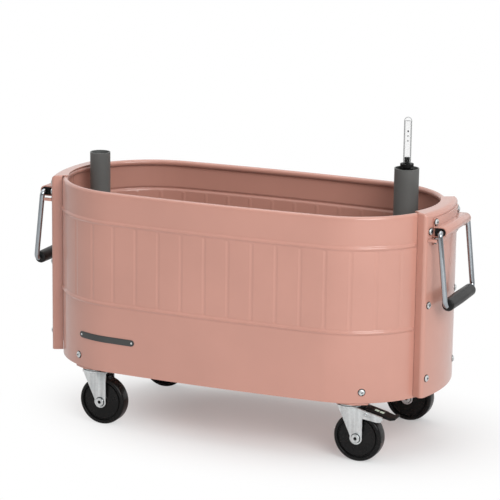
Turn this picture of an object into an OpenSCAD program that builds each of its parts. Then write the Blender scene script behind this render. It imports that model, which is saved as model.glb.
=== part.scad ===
// Self-watering garden bed on four swivel casters, in millimetres.
// The tub is two pressed steel shells on a bowed oval plan, closed by two end covers that
// carry the drop handles. A reservoir, a perforated platform and a float gauge sit inside.

/* [Tub] */
// Radius of the tub's round ends over the shells
end_r = 140.2; // [125:0.1:155]
// How much further out the middle of a long wall lies than its ends
bow_rise = 4.8; // [2:0.2:8]
// Length of the bowed wall, each way from its middle, in times its rise
bow_ratio = 35; // [25:1:50]
// Height of the shells' bottom edge above the floor
tub_bottom = 91; // [91:1:96]
// Height of the shells, bottom edge to the top of the rolled rim
shell_h = 282; // [260:1:310]
// Thickness of the shell sheet
sheet_t = 1.2; // [1:0.1:1.6]
// Radius of the rolled rim
rim_r = 4.5; // [4:0.1:5]

/* [Beads and ribs] */
// Height of the lower bead's middle above the shell's bottom edge
low_bead_z = 104; // [90:1:120]
// Height of the upper bead's middle above the shell's bottom edge
high_bead_z = 231; // [215:1:240]
// Width of a bead
bead_w = 9; // [6:0.5:12]
// How far a bead stands out of the wall
bead_out = 2.2; // [1.2:0.1:2.6]
// Number of ribs on each long wall
rib_count = 16; // [8:2:16]
// Spacing of the ribs along the wall
rib_pitch = 38.4; // [32:0.1:38.6]
// Width of a rib
rib_w = 5; // [3:0.5:8]
// How far a rib stands out of the wall
rib_out = 1.2; // [0.8:0.1:1.6]

/* [End covers] */
// How far a cover's bowed face stands out beyond the tub's round end
cover_out = 11.8; // [10:0.2:18]
// Radius of the covers' bowed face
cover_bow_r = 240; // [220:5:300]
// How much further out sideways a cover's corner lies than the end of its wing
wing_rise = 7.6; // [6:0.1:9]
// Turn round the end, from straight out at the side, where a cover's wing ends
wing_turn = 63; // [60:0.5:66]
// Height of the covers' bottom edge above the shells' bottom edge
cover_lift = 3; // [1:0.5:8]
// Thickness of the cover sheet
cover_t = 1.5; // [1.2:0.1:2]
// Width of the covers' top flange over the rim
cover_lip = 9; // [8.5:0.1:10]
// Radius of the soft bend between a cover's face and its top flange
cover_round = 8; // [3:0.5:10]

/* [Handles] */
// Distance from a cover's bowed face out to a bail's pivot axis
bail_out = 8; // [8:0.5:12]
// Distance from the rim's top down to a bail's pivot axis
bail_drop = 27; // [25:1:38]
// How far the middle of a bail's leg lies outside the cover's column of screws
leg_out = 4; // [3:0.5:7]
// Length of the legs, pivot axis to grip axis
bail_len = 110; // [95:1:125]
// Radius of the bail's rod
rod_r = 4; // [3.5:0.1:4.2]
// Lean of the resting bail away from the tub
bail_lean = 6.1; // [5:0.1:8]
// Radius of the grip
grip_r = 10; // [8:0.5:11]
// Distance from the middle of a leg in to the end of the grip
grip_end_in = 11; // [10:0.5:18]

/* [Casters] */
// Radius of the wheels
wheel_r = 37.5; // [36:0.1:37.6]
// Width of the wheels
wheel_w = 22; // [18:0.5:23]
// Distance from the tub's round end in to the swivel axes
caster_end_in = 96.2; // [88:0.2:108]
// Distance from the middle of the long wall in to the swivel axes
caster_side_in = 33; // [31:1:45]
// Trail of the wheel behind the swivel axis
trail = 16; // [14:0.5:18]
// Radius of the swivel stem
stem_r = 6; // [5:0.5:6]
// Radius of the axle
axle_r = 4; // [3:0.5:4.5]

/* [Watering insert] */
// Height of the perforated platform above the floor
platform_z = 165; // [150:1:180]
// Radius of the fill tube
fill_r = 16; // [13:0.5:17]
// Distance from the tub's round end in to the fill tube's axis
fill_end_in = 41.2; // [36:0.2:60]
// Distance of the fill tube's axis from the tub's middle plane
fill_y = 15; // [0:1:30]
// Height of the fill tube's mouth above the floor
fill_top = 401; // [385:1:420]
// Radius of the gauge sleeve
sleeve_r = 19; // [17:0.5:20]
// Distance from the tub's round end in to the sleeve's axis
sleeve_end_in = 82.2; // [70:0.2:100]
// Distance from the middle of the long wall in to the sleeve's axis
sleeve_side_in = 73; // [60:1:90]
// Height of the gauge sleeve's mouth above the floor
sleeve_top = 410; // [395:1:430]
// Height of the clear gauge tube's top above the floor
gauge_top = 489; // [480:1:500]

/* [Hidden] */

// Colours as the photo shows them
pink = [0.80, 0.56, 0.50];
zinc = [0.78, 0.80, 0.80];
chrome = [0.86, 0.87, 0.88];
black = [0.09, 0.09, 0.09];
grey = [0.33, 0.34, 0.34];
clear = [0.85, 0.88, 0.88, 0.5];

// Clearances: running fit of a pin, free gap between moving pieces, seat of a fixed piece
run_gap = 0.05;
free_gap = 0.3;
eps = 0.01;

// Plan of the tub: a long bowed arc each side runs tangent into a round arc at each end.
// The three centres make a right triangle of whole multiples of the rise, so that both
// arcs meet on the line through their centres without a rounding error.
end_cx = bow_ratio * bow_rise;
bow_cy = bow_rise * (bow_ratio * bow_ratio - 1) / 2;
side_bow_r = end_r + bow_rise * (bow_ratio * bow_ratio + 1) / 2;
join_turn = atan(end_cx / bow_cy);
side_half_arc = side_bow_r * join_turn * PI / 180;
tub_half_len = end_cx + end_r;
tub_half_w = end_r + bow_rise;

tub_top = tub_bottom + shell_h;
rim_in = 2 * rim_r;
bead_r = (bead_w * bead_w / 4 + bead_out * bead_out) / (2 * bead_out);
rib_r = (rib_w * rib_w / 4 + rib_out * rib_out) / (2 * rib_out);
bead_bite = 0.6;
rib_gap = 7;

// Turn of the wall's outward side at arc length s from the wall's middle
function wall_turn(s) = abs(s) <= side_half_arc
    ? s / side_bow_r * 180 / PI
    : sign(s) * (join_turn + (abs(s) - side_half_arc) / end_r * 180 / PI);
// Plan point of the wall's outer face at arc length s
function wall_point(s) = abs(s) <= side_half_arc
    ? [side_bow_r * sin(wall_turn(s)), bow_cy - side_bow_r * cos(wall_turn(s))]
    : [sign(s) * end_cx + end_r * sin(wall_turn(s)), -end_r * cos(wall_turn(s))];

// Places children on the front wall: local -Y points out of the wall, Z stays up
module on_wall(s, z) {
    translate([wall_point(s)[0], wall_point(s)[1], z])
        rotate([0, 0, wall_turn(s)])
            children();
}

// Prism over the part of the plan between the bowed walls
module middle_wedge() {
    linear_extrude(2 * tub_top)
        polygon([
            [end_cx, 0], [1.1 * end_cx, 0.1 * bow_cy],
            [-1.1 * end_cx, 0.1 * bow_cy], [-end_cx, 0],
            [-1.1 * end_cx, -0.1 * bow_cy], [1.1 * end_cx, -0.1 * bow_cy]]);
}

// Prism over the rest of the plan, at the right end
module end_wedge() {
    linear_extrude(2 * tub_top)
        polygon([
            [end_cx, 0], [1.1 * end_cx, 0.1 * bow_cy], [3 * end_cx, 0.1 * bow_cy],
            [3 * end_cx, -0.1 * bow_cy], [1.1 * end_cx, -0.1 * bow_cy]]);
}

// Sweeps a profile along the front wall and round both ends, as far as a turn
module wall_sweep(to) {
    for (side = [0, 1])
        mirror([side, 0, 0]) {
            intersection() {
                translate([0, bow_cy, 0])
                    rotate([0, 0, -90])
                        rotate_extrude(angle = join_turn + 1, $fn = 1800)
                            translate([side_bow_r, 0])
                                children();
                middle_wedge();
            }
            intersection() {
                translate([end_cx, 0, 0])
                    rotate([0, 0, -90])
                        rotate_extrude(angle = to, $fn = 240)
                            translate([end_r, 0])
                                children();
                end_wedge();
            }
        }
}

// Filled tub plan, grown outward by grow, between two heights
module tub_plan(grow, z0, z1) {
    intersection() {
        middle_wedge();
        wall_lens(grow, z0, z1);
    }
    for (side = [0, 1])
        mirror([side, 0, 0])
            intersection() {
                end_wedge();
                translate([end_cx, 0, z0])
                    cylinder(r = end_r + grow, h = z1 - z0, $fn = 240);
            }
}

// Lens between both bowed walls
module wall_lens(grow, z0, z1) {
    intersection() {
        translate([0, bow_cy, z0])
            cylinder(r = side_bow_r + grow, h = z1 - z0, $fn = 1800);
        translate([0, -bow_cy, z0])
            cylinder(r = side_bow_r + grow, h = z1 - z0, $fn = 1800);
    }
}

// Section of the sheet: upright wall with a rim rolled inward at the top
module wall_section() {
    translate([-sheet_t, tub_bottom])
        square([sheet_t, shell_h - rim_r]);
    translate([-rim_r, tub_top - rim_r])
        difference() {
            circle(r = rim_r, $fn = 48);
            circle(r = rim_r - sheet_t, $fn = 48);
            translate([0, -2 * rim_r])
                square([2 * rim_r, 2 * rim_r]);
        }
}

// Raised half-round bead at height z
module bead_section(z) {
    intersection() {
        translate([bead_out - bead_r, z])
            circle(r = bead_r, $fn = 64);
        translate([-bead_bite, z - bead_r])
            square([2 * bead_r, 2 * bead_r]);
    }
}

// Sections of both beads
module bead_sections() {
    bead_section(tub_bottom + low_bead_z);
    bead_section(tub_bottom + high_bead_z);
}

// Upright rib on the wall at arc length s
module rib(s) {
    z0 = tub_bottom + low_bead_z + bead_w / 2 + rib_gap;
    z1 = tub_bottom + high_bead_z - bead_w / 2 - rib_gap;
    on_wall(s, z0)
        linear_extrude(z1 - z0)
            intersection() {
                translate([0, rib_r - rib_out])
                    circle(r = rib_r, $fn = 40);
                translate([-rib_r, -rib_r])
                    square([2 * rib_r, rib_r + bead_bite]);
            }
}

// Screws that hold a shell to the base pan: one near each end of the long wall
shell_screw_s = 237;
shell_screw_z = tub_bottom + 17;
m5_r = 2.5;
m5_hole_r = 2.6;

// Holes for the M5 screws of one shell
module shell_screw_holes() {
    for (side = [-1, 1])
        on_wall(side * shell_screw_s, shell_screw_z)
            rotate([90, 0, 0])
                cylinder(r = m5_hole_r, h = 20, center = true, $fn = 32);
}

// One pressed shell: half of the tub's wall, split in the middle of both ends
module half_shell() {
    seam_gap = 0.1;
    color(pink)
        difference() {
            union() {
                wall_sweep(90 - seam_gap)
                    wall_section();
                wall_sweep(wing_turn - 1)
                    bead_sections();
                for (k = [0:rib_count - 1])
                    rib((k - (rib_count - 1) / 2) * rib_pitch);
            }
            shell_screw_holes();
            cover_holes(m5_hole_r);
        }
}

module front_shell() {
    half_shell();
}

module rear_shell() {
    rotate([0, 0, 180])
        half_shell();
}

// End cover: bowed face, two wings that run in to the shell, and a top flange over the rim
cover_x = tub_half_len + cover_out;
cover_bottom = tub_bottom + cover_lift;
cover_top = tub_top + cover_t;
bow_cx = cover_x - cover_bow_r;
wing_gap = 0.2;
wing_tip_r = end_r + cover_t + wing_gap;
wing_tip = [end_cx + wing_tip_r * sin(wing_turn), wing_tip_r * cos(wing_turn)];
cover_half_w = wing_tip[1] + wing_rise;
corner_x = bow_cx + sqrt(cover_bow_r * cover_bow_r - cover_half_w * cover_half_w);
wing_lean = atan((cover_half_w - wing_tip[1]) / (corner_x - wing_tip[0]));

// Round block with a soft upper edge
module soft_disc(r, h, soft) {
    rotate_extrude($fn = 720) {
        square([r - soft, h]);
        square([r, h - soft]);
        translate([r - soft, h - soft])
            circle(r = soft, $fn = 64);
    }
}

// Space inside a cover's outline, taken in by inset
module cover_space(inset, z0, z1) {
    drop = inset / cos(wing_lean);
    far_x = cover_x + 20;
    far_y = wing_tip[1] + (far_x - wing_tip[0]) * tan(wing_lean);
    lip_r = end_r - cover_lip - 4;
    lip = [end_cx + lip_r * sin(wing_turn), lip_r * cos(wing_turn)];
    translate([0, 0, z0])
        intersection() {
            translate([bow_cx, 0, 0])
                soft_disc(cover_bow_r - inset, z1 - z0, cover_round - inset);
            linear_extrude(z1 - z0)
                polygon([
                    lip, [wing_tip[0], wing_tip[1] - drop], [far_x, far_y - drop],
                    [far_x, drop - far_y], [wing_tip[0], drop - wing_tip[1]],
                    [lip[0], -lip[1]]]);
        }
}

// Screws of a cover: a column of three near each corner
cover_screw_in = 12;
cover_screw_y = cover_half_w - cover_screw_in;
low_screw_z = cover_bottom + 29;
high_screw_z = tub_top - 26;
cover_screw_z = [low_screw_z, (low_screw_z + high_screw_z) / 2, high_screw_z];
cover_screw_turn = asin(cover_screw_y / cover_bow_r);

// Places children on a cover's bowed face: local Z points out of the tub
module on_bow(turn, r, z) {
    translate([bow_cx, 0, z])
        rotate([0, 0, turn])
            translate([r, 0, 0])
                rotate([0, 90, 0])
                    children();
}

// Places children at a cover's six screws
module at_cover_screws() {
    for (side = [-1, 1], z = cover_screw_z)
        on_bow(side * cover_screw_turn, cover_bow_r, z)
            children();
}

// Bores of both covers' screws, long enough for cover, spacer and shell
module cover_holes(r) {
    for (end = [0, 180])
        rotate([0, 0, end])
            at_cover_screws()
                translate([0, 0, -30])
                    cylinder(r = r, h = 40, $fn = 32);
}

module end_cover() {
    color(pink)
        difference() {
            cover_space(0, cover_bottom, cover_top);
            cover_space(cover_t, cover_bottom - 1, cover_top - cover_t);
            tub_plan(-cover_lip, cover_bottom - 2, cover_top + 1);
            tub_plan(0.15, cover_bottom - 2, cover_top - cover_t - eps);
            cover_holes(m5_hole_r);
            bracket_holes(m5_hole_r);
        }
}

module right_end_cover() {
    end_cover();
}

module left_end_cover() {
    rotate([0, 0, 180])
        end_cover();
}

// Base pan: pressed tray that closes the tub's bottom and carries the casters
pan_t = 1.5;
pan_gap = 0.1;
pan_top = tub_bottom + 1;
pan_wall_top = tub_bottom + 27;
rail_t = 3;
rail_bottom = pan_top - pan_t - rail_t;
rail_w = 46;
rail_over = 17;
rail_out = 7;
caster_x = tub_half_len - caster_end_in;
caster_y = tub_half_w - caster_side_in;
drain_x = -120;
drain_r = 9;

// Places children on the four swivel axes
module at_casters() {
    for (x = [-1, 1], y = [-1, 1])
        translate([x * caster_x, y * caster_y, 0])
            children();
}

module base_pan() {
    color(pink)
        difference() {
            tub_plan(-sheet_t - pan_gap, pan_top - pan_t, pan_wall_top);
            tub_plan(-sheet_t - pan_gap - pan_t, pan_top, pan_wall_top + 1);
            at_casters()
                cylinder(r = stem_r + 0.1, h = 200, $fn = 48);
            translate([drain_x, 0, 0])
                cylinder(r = drain_r + 0.1, h = 200, $fn = 48);
            shell_screw_holes();
            rotate([0, 0, 180])
                shell_screw_holes();
        }
}

// Flat steel rail across the pan, over each pair of casters
module caster_rail() {
    rail_half = caster_y + rail_over;
    color(pink)
        difference() {
            translate([caster_x + rail_out - rail_w / 2, -rail_half, rail_bottom])
                cube([rail_w, 2 * rail_half, rail_t]);
            at_casters()
                cylinder(r = stem_r + 0.1, h = 200, $fn = 48);
        }
}

module right_caster_rail() {
    caster_rail();
}

module left_caster_rail() {
    rotate([0, 0, 180])
        caster_rail();
}

// Pan-head screw: its seat at the origin, head up, with a cross recess
module pan_head_screw(shank, head_r = 4.7, head_h = 2.6) {
    difference() {
        union() {
            cylinder(r = head_r, h = head_h * 0.55, $fn = 40);
            translate([0, 0, head_h * 0.55])
                cylinder(r1 = head_r, r2 = head_r * 0.62, h = head_h * 0.45, $fn = 40);
            translate([0, 0, -shank])
                cylinder(r = m5_r, h = shank + eps, $fn = 32);
        }
        for (turn = [0, 90])
            rotate([0, 0, turn])
                translate([-2.4, -0.5, head_h - 1.2])
                    cube([4.8, 1, 2]);
    }
}

module shell_screws() {
    color(zinc)
        for (end = [0, 180])
            rotate([0, 0, end])
                for (side = [-1, 1])
                    on_wall(side * shell_screw_s, shell_screw_z)
                        rotate([90, 0, 0])
                            pan_head_screw(7);
}

module end_cover_screws() {
    color(zinc)
        for (end = [0, 180])
            rotate([0, 0, end])
                at_cover_screws()
                    pan_head_screw(22);
}

// Spacer tubes between cover and shell, cut to both curves
module cover_spacers() {
    color(zinc)
        for (end = [0, 180])
            rotate([0, 0, end])
                intersection() {
                    difference() {
                        at_cover_screws()
                            translate([0, 0, -28])
                                cylinder(r = 5, h = 27, $fn = 40);
                        at_cover_screws()
                            translate([0, 0, -30])
                                cylinder(r = m5_hole_r, h = 40, $fn = 32);
                        tub_plan(0.05, cover_bottom, cover_top);
                    }
                    translate([bow_cx, 0, cover_bottom])
                        cylinder(r = cover_bow_r - cover_t - 0.05, h = shell_h, $fn = 720);
                }
}

// Handle bracket: curved back plate folded out into a channel that holds the bushes,
// with a stop ear under each leg of the bail
plate_t = 2.5;
channel_half_w = cover_screw_y - 4;
plate_half_w = channel_half_w - 1.5;
plate_half_h = 20;
channel_r = 8;
channel_t = 2;
bush_r = channel_r - channel_t;
bracket_screw_y = plate_half_w - 4.5;
bracket_screw_z = plate_half_h - 6.5;
bail_half_w = cover_screw_y + leg_out;
grip_half = bail_half_w - grip_end_in;
plate_r = cover_bow_r + plate_t;
bail_x = cover_x + bail_out;
bail_z = tub_top - bail_drop;
ear_drop = 9.5;
ear_h = 4;

// Places children at a bracket's four screws
module at_bracket_screws() {
    for (side = [-1, 1], up = [-1, 1])
        on_bow(side * asin(bracket_screw_y / plate_r), plate_r, bail_z + up * bracket_screw_z)
            children();
}

// Bores of a bracket's screws
module bracket_holes(r) {
    at_bracket_screws()
        translate([0, 0, -12])
            cylinder(r = r, h = 20, $fn = 32);
}

// Curved strip of sheet round the cover's face, between two radii
module bracket_strip(half_y, r0, r1, z0, h) {
    turn = asin(half_y / plate_r);
    translate([bow_cx, 0, z0])
        rotate([0, 0, -turn])
            rotate_extrude(angle = 2 * turn, $fn = 720)
                translate([r0, 0])
                    square([r1 - r0, h]);
}

// Round-nosed bar along Y whose back runs in behind the cover's face
module nosed_bar(r, half_y) {
    translate([bail_x, 0, bail_z])
        rotate([90, 0, 0])
            linear_extrude(2 * half_y, center = true) {
                circle(r = r, $fn = 64);
                translate([-18, -r])
                    square([18, 2 * r]);
            }
}

// Stop ear that holds the resting leg at its lean
module stop_ear(side) {
    back = bow_cx + cover_bow_r * cos(20);
    front = bail_x + ear_drop * tan(bail_lean) - rod_r / cos(bail_lean) - free_gap;
    translate([back, side * bail_half_w - 3, bail_z - ear_drop - ear_h])
        cube([front - back, 6, ear_h]);
}

module handle_bracket() {
    color(pink)
        difference() {
            union() {
                difference() {
                    nosed_bar(channel_r, channel_half_w);
                    nosed_bar(bush_r, channel_half_w + 1);
                    translate([bow_cx, 0, 0])
                        cylinder(r = cover_bow_r + 1, h = 2 * bail_z, $fn = 720);
                }
                bracket_strip(plate_half_w, cover_bow_r + 0.02, plate_r,
                    bail_z - plate_half_h, 2 * plate_half_h);
                bracket_strip(bail_half_w, cover_bow_r + 0.4, plate_r - 0.3,
                    bail_z - ear_drop - ear_h + 0.5, ear_h - 1);
                difference() {
                    for (side = [-1, 1])
                        stop_ear(side);
                    translate([bow_cx, 0, 0])
                        cylinder(r = cover_bow_r + 0.1, h = 2 * bail_z, $fn = 720);
                }
            }
            bracket_holes(m5_hole_r);
        }
}

module right_handle_bracket() {
    handle_bracket();
}

module left_handle_bracket() {
    rotate([0, 0, 180])
        handle_bracket();
}

module bracket_screws() {
    color(zinc)
        for (end = [0, 180])
            rotate([0, 0, end])
                at_bracket_screws()
                    pan_head_screw(7);
}

// Plugs in both ends of a bracket's channel, flanged outside and bored for the bail's rod
module channel_plugs() {
    flange_t = 1.2;
    plug_len = 18;
    plug_gap = 0.1;
    difference() {
        union() {
            nosed_bar(bush_r - plug_gap, channel_half_w + flange_t / 2);
            difference() {
                nosed_bar(channel_r - 0.5, channel_half_w + flange_t);
                translate([0, -channel_half_w, 0])
                    cube([2 * bail_x, 2 * channel_half_w, 2 * bail_z]);
            }
        }
        translate([0, plug_len - channel_half_w, 0])
            cube([2 * bail_x, 2 * (channel_half_w - plug_len), 2 * bail_z]);
        translate([bow_cx, 0, 0])
            cylinder(r = plate_r + plug_gap, h = 2 * bail_z, $fn = 720);
        translate([bail_x, 0, bail_z])
            rotate([90, 0, 0])
                cylinder(r = rod_r + run_gap, h = 3 * channel_half_w, center = true, $fn = 48);
    }
}

module handle_bushes() {
    color(black)
        for (end = [0, 180])
            rotate([0, 0, end])
                channel_plugs();
}

// Bail: bent rod whose ends turn in the plugs; drawn hanging straight, then leaned
grip_bend_r = 9;
pivot_bend_r = 6;

// Quarter bend about the origin, from +Y to +Z where up is 1, or to -Z where it is -1
module rod_bend(r, up) {
    rotate([0, up * -90, 0])
        rotate_extrude(angle = 90, $fn = 96)
            translate([r, 0])
                circle(r = rod_r, $fn = 40);
}

module bail_half() {
    inner_y = channel_half_w - 17;
    // Pivot end inside the plug
    translate([0, inner_y, 0])
        rotate([-90, 0, 0])
            cylinder(r = rod_r, h = bail_half_w - pivot_bend_r - inner_y, $fn = 48);
    // Bend from the pivot end down into the leg
    translate([0, bail_half_w - pivot_bend_r, -pivot_bend_r])
        rod_bend(pivot_bend_r, 1);
    // Leg
    translate([0, bail_half_w, -bail_len + grip_bend_r])
        cylinder(r = rod_r, h = bail_len - grip_bend_r - pivot_bend_r, $fn = 48);
    // Bend from the leg into the grip's bar
    translate([0, bail_half_w - grip_bend_r, -bail_len + grip_bend_r])
        rod_bend(grip_bend_r, -1);
    translate([0, 0, -bail_len])
        rotate([-90, 0, 0])
            cylinder(r = rod_r, h = bail_half_w - grip_bend_r, $fn = 48);
}

// Places children on the right handle's pivot, leaned as the bail rests
module at_bail() {
    translate([bail_x, 0, bail_z])
        rotate([0, -bail_lean, 0])
            children();
}

module bail() {
    color(chrome)
        at_bail()
            union() {
                bail_half();
                mirror([0, 1, 0])
                    bail_half();
            }
}

module right_bail() {
    bail();
}

module left_bail() {
    rotate([0, 0, 180])
        bail();
}

module grip() {
    color(black)
        at_bail()
            translate([0, 0, -bail_len])
                rotate([90, 0, 0])
                    difference() {
                        cylinder(r = grip_r, h = 2 * grip_half, center = true, $fn = 64);
                        cylinder(r = rod_r, h = 3 * grip_half, center = true, $fn = 48);
                    }
}

module right_grip() {
    grip();
}

module left_grip() {
    rotate([0, 0, 180])
        grip();
}

// Reservoir: plastic tray on feet, with the drain spout in its floor
tray_in = 8;
tray_t = 2;
tray_bottom = tub_bottom + 13;
tray_floor = tray_bottom + 3;
foot_r = 9;
foot_x = tub_half_len - 98.2;
foot_y = tub_half_w - 75;

module reservoir_tray() {
    color(grey)
        difference() {
            union() {
                difference() {
                    tub_plan(-tray_in, tray_bottom, platform_z);
                    tub_plan(-tray_in - tray_t, tray_floor, platform_z + 1);
                }
                for (x = [-foot_x, -foot_x / 3, foot_x / 3, foot_x], y = [-foot_y, foot_y])
                    translate([x, y, pan_top])
                        cylinder(r = foot_r, h = tray_bottom - pan_top + 1, $fn = 40);
                translate([drain_x, 0, pan_top])
                    cylinder(r = drain_r + 4, h = tray_bottom - pan_top + 1, $fn = 48);
            }
            translate([drain_x, 0, 0])
                cylinder(r = drain_r, h = 200, $fn = 48);
        }
}

// Threaded drain plug, closing the spout from below
module drain_plug() {
    knob_h = 8;
    color(black)
        translate([drain_x, 0, 0])
            difference() {
                union() {
                    translate([0, 0, pan_top - pan_t - knob_h])
                        cylinder(r = drain_r + 5, h = knob_h, $fn = 48);
                    translate([0, 0, pan_top - pan_t - eps])
                        cylinder(r = drain_r - 0.05, h = 15, $fn = 48);
                }
                for (turn = [0:30:330])
                    rotate([0, 0, turn])
                        translate([drain_r + 5.8, 0, 0])
                            cylinder(r = 1.6, h = 91, $fn = 20);
            }
}

// Places of the insert's pieces in plan
fill_at = [fill_end_in - tub_half_len, fill_y];
sleeve_at = [tub_half_len - sleeve_end_in, tub_half_w - sleeve_side_in];
cup_x = 95;
cup_r = 30;
platform_t = 3;
platform_top = platform_z + platform_t;
pillar_r = 10;
pillar_x = tub_half_len - 123.2;
pillar_y = tub_half_w - 85;
drip_r = 3;
drip_pitch = 28;
drip_y = tub_half_w - 40;

// Perforated platform on the tray's rim, with pillars down to the tray's floor
module soil_platform() {
    color(grey)
        difference() {
            union() {
                tub_plan(-tray_in + 3, platform_z, platform_top);
                for (x = [-pillar_x, 0, pillar_x], y = [-pillar_y, pillar_y])
                    translate([x, y, tray_floor])
                        cylinder(r = pillar_r, h = platform_z - tray_floor + 1, $fn = 40);
            }
            translate([fill_at[0], fill_at[1], platform_z - 1])
                cylinder(r = fill_r + 0.1, h = 6, $fn = 48);
            translate([sleeve_at[0], sleeve_at[1], platform_z - 1])
                cylinder(r = sleeve_r + 0.1, h = 6, $fn = 48);
            for (side = [-1, 1])
                translate([side * cup_x, 0, platform_z - 1])
                    cylinder(r = cup_r + 0.2, h = 6, $fn = 64);
            for (k = [-5:5], y = [-drip_y, drip_y])
                translate([k * drip_pitch, y, platform_z - 1])
                    cylinder(r = drip_r, h = 6, $fn = 24);
            for (k = [-1:1], j = [-1:1])
                translate([k * drip_pitch, j * drip_pitch, platform_z - 1])
                    cylinder(r = drip_r, h = 6, $fn = 24);
        }
}

// Slotted cup that hangs into the reservoir and draws water up into the soil
module wick_cup() {
    cup_t = 2;
    cup_bottom = tray_floor + 1;
    color(grey)
        difference() {
            union() {
                translate([0, 0, cup_bottom])
                    cylinder(r = cup_r, h = platform_top - cup_bottom + 2, $fn = 64);
                translate([0, 0, platform_top])
                    cylinder(r = cup_r + 6, h = 2, $fn = 64);
            }
            translate([0, 0, cup_bottom + cup_t])
                cylinder(r = cup_r - cup_t, h = 100, $fn = 64);
            for (turn = [0:45:315])
                rotate([0, 0, turn])
                    translate([cup_r - 5, -2, cup_bottom + 8])
                        cube([10, 4, 36]);
        }
}

module left_wick_cup() {
    translate([-cup_x, 0, 0])
        wick_cup();
}

module right_wick_cup() {
    translate([cup_x, 0, 0])
        wick_cup();
}

// Open tube with two water slots at its foot
module foot_tube(r, wall, top) {
    foot = tray_floor;
    difference() {
        translate([0, 0, foot])
            cylinder(r = r, h = top - foot, $fn = 72);
        translate([0, 0, foot - 1])
            cylinder(r = r - wall, h = top - foot + 2, $fn = 72);
        for (turn = [0, 90])
            rotate([0, 0, turn])
                translate([-2 * r, -4, foot - 1])
                    cube([4 * r, 8, 26]);
    }
}

module fill_tube() {
    color(grey)
        translate([fill_at[0], fill_at[1], 0])
            foot_tube(fill_r, 2, fill_top);
}

module gauge_sleeve() {
    color(grey)
        translate([sleeve_at[0], sleeve_at[1], 0])
            foot_tube(sleeve_r, 2, sleeve_top);
}

// Gauge: spider cap in the sleeve's mouth, clear tube over it, float with its indicator
cap_ring_top = sleeve_top - 4;
cap_flange_z = sleeve_top + 2;
cap_flange_h = 5;
sleeve_bore = sleeve_r - 2;
gauge_r = 6;
gauge_bore = 5;
float_rod_r = 1.5;

module gauge_cap() {
    ring_t = 2;
    ring_h = 8;
    color(black)
        translate([sleeve_at[0], sleeve_at[1], 0])
            difference() {
                union() {
                    difference() {
                        translate([0, 0, cap_ring_top - ring_h])
                            cylinder(r = sleeve_bore - run_gap, h = ring_h, $fn = 64);
                        translate([0, 0, cap_ring_top - ring_h - 1])
                            cylinder(r = sleeve_bore - ring_t, h = ring_h + 2, $fn = 64);
                    }
                    for (turn = [30, 150, 270])
                        rotate([0, 0, turn])
                            translate([0, -1.2, cap_ring_top - ring_h])
                                cube([sleeve_bore - 1, 2.4, ring_h - 1]);
                    translate([0, 0, cap_ring_top - ring_h])
                        cylinder(r = 6, h = cap_flange_z - cap_ring_top + ring_h + 1, $fn = 48);
                    translate([0, 0, cap_flange_z])
                        cylinder(r = 10.4, h = cap_flange_h, $fn = 64);
                }
                translate([0, 0, cap_ring_top - ring_h - 1])
                    cylinder(r = float_rod_r + 0.3, h = 40, $fn = 32);
                translate([0, 0, cap_flange_z + 2])
                    cylinder(r = gauge_r + run_gap, h = 10, $fn = 48);
            }
}

module gauge_tube() {
    foot = cap_flange_z + 2;
    color(clear)
        translate([sleeve_at[0], sleeve_at[1], 0])
            difference() {
                union() {
                    translate([0, 0, foot])
                        cylinder(r = gauge_r, h = gauge_top - gauge_r - foot, $fn = 48);
                    translate([0, 0, gauge_top - gauge_r])
                        sphere(r = gauge_r, $fn = 64);
                }
                translate([0, 0, foot - 1])
                    cylinder(r = gauge_bore, h = gauge_top - gauge_r - foot + 1, $fn = 48);
            }
}

module gauge_float() {
    float_r = 12;
    float_h = 22;
    tip_h = 12;
    float_bottom = tray_floor + free_gap;
    tip_z = cap_flange_z + 2.5;
    color(black)
        translate([sleeve_at[0], sleeve_at[1], 0]) {
            translate([0, 0, float_bottom])
                cylinder(r = float_r, h = float_h, $fn = 48);
            translate([0, 0, float_bottom + float_h - 1])
                cylinder(r = float_rod_r, h = tip_z - float_bottom - float_h + 2, $fn = 32);
            translate([0, 0, tip_z])
                cylinder(r = gauge_bore - 0.5, h = 1.5, $fn = 40);
            translate([0, 0, tip_z])
                cylinder(r = 2.5, h = tip_h - 1, $fn = 40);
            translate([0, 0, tip_z + tip_h - 7])
                cylinder(r = gauge_bore - 1, h = 7, $fn = 40);
        }
}

// Caster heights, from the rail down
race_h = 1;
race_bottom = rail_bottom - race_h;
cup_lip_top = race_bottom - free_gap;
cup_lip = 0.4;
crown_top = cup_lip_top - cup_lip;
crown_t = 3;
crown_bottom = crown_top - crown_t;
head_r = 19;
leg_in = wheel_w / 2 + 2.5;
leg_t = 2.5;
pivot_x = 31;
pivot_z = 75.7;
pin_r = 2.4;

// Fixed swivel stem: headed pin through fork, rail and pan
module stem() {
    stem_head_h = 2.4;
    translate([0, 0, crown_bottom - 0.2 - stem_head_h])
        cylinder(r = 9, h = stem_head_h, $fn = 48);
    translate([0, 0, crown_bottom - 0.2 - eps])
        cylinder(r = stem_r, h = pan_top + 10 - crown_bottom, $fn = 48);
}

module caster_stems() {
    color(zinc)
        at_casters()
            stem();
}

module caster_nuts() {
    color(zinc)
        at_casters()
            difference() {
                translate([0, 0, pan_top])
                    cylinder(r = 10, h = 7, $fn = 6);
                translate([0, 0, pan_top - 1])
                    cylinder(r = stem_r + run_gap, h = 9, $fn = 48);
            }
}

// Fixed upper race under the rail
module caster_races() {
    color(zinc)
        at_casters()
            difference() {
                translate([0, 0, race_bottom])
                    cylinder(r = head_r - 1, h = race_h, $fn = 64);
                translate([0, 0, race_bottom - 1])
                    cylinder(r = stem_r + run_gap, h = race_h + 2, $fn = 48);
            }
}

leg_edge = trail + 9.5;
arm_start = 12;

// Height of a braked fork's sloping upper edge
function arm_top(x) = crown_top - (x - arm_start) * 0.24;

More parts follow.
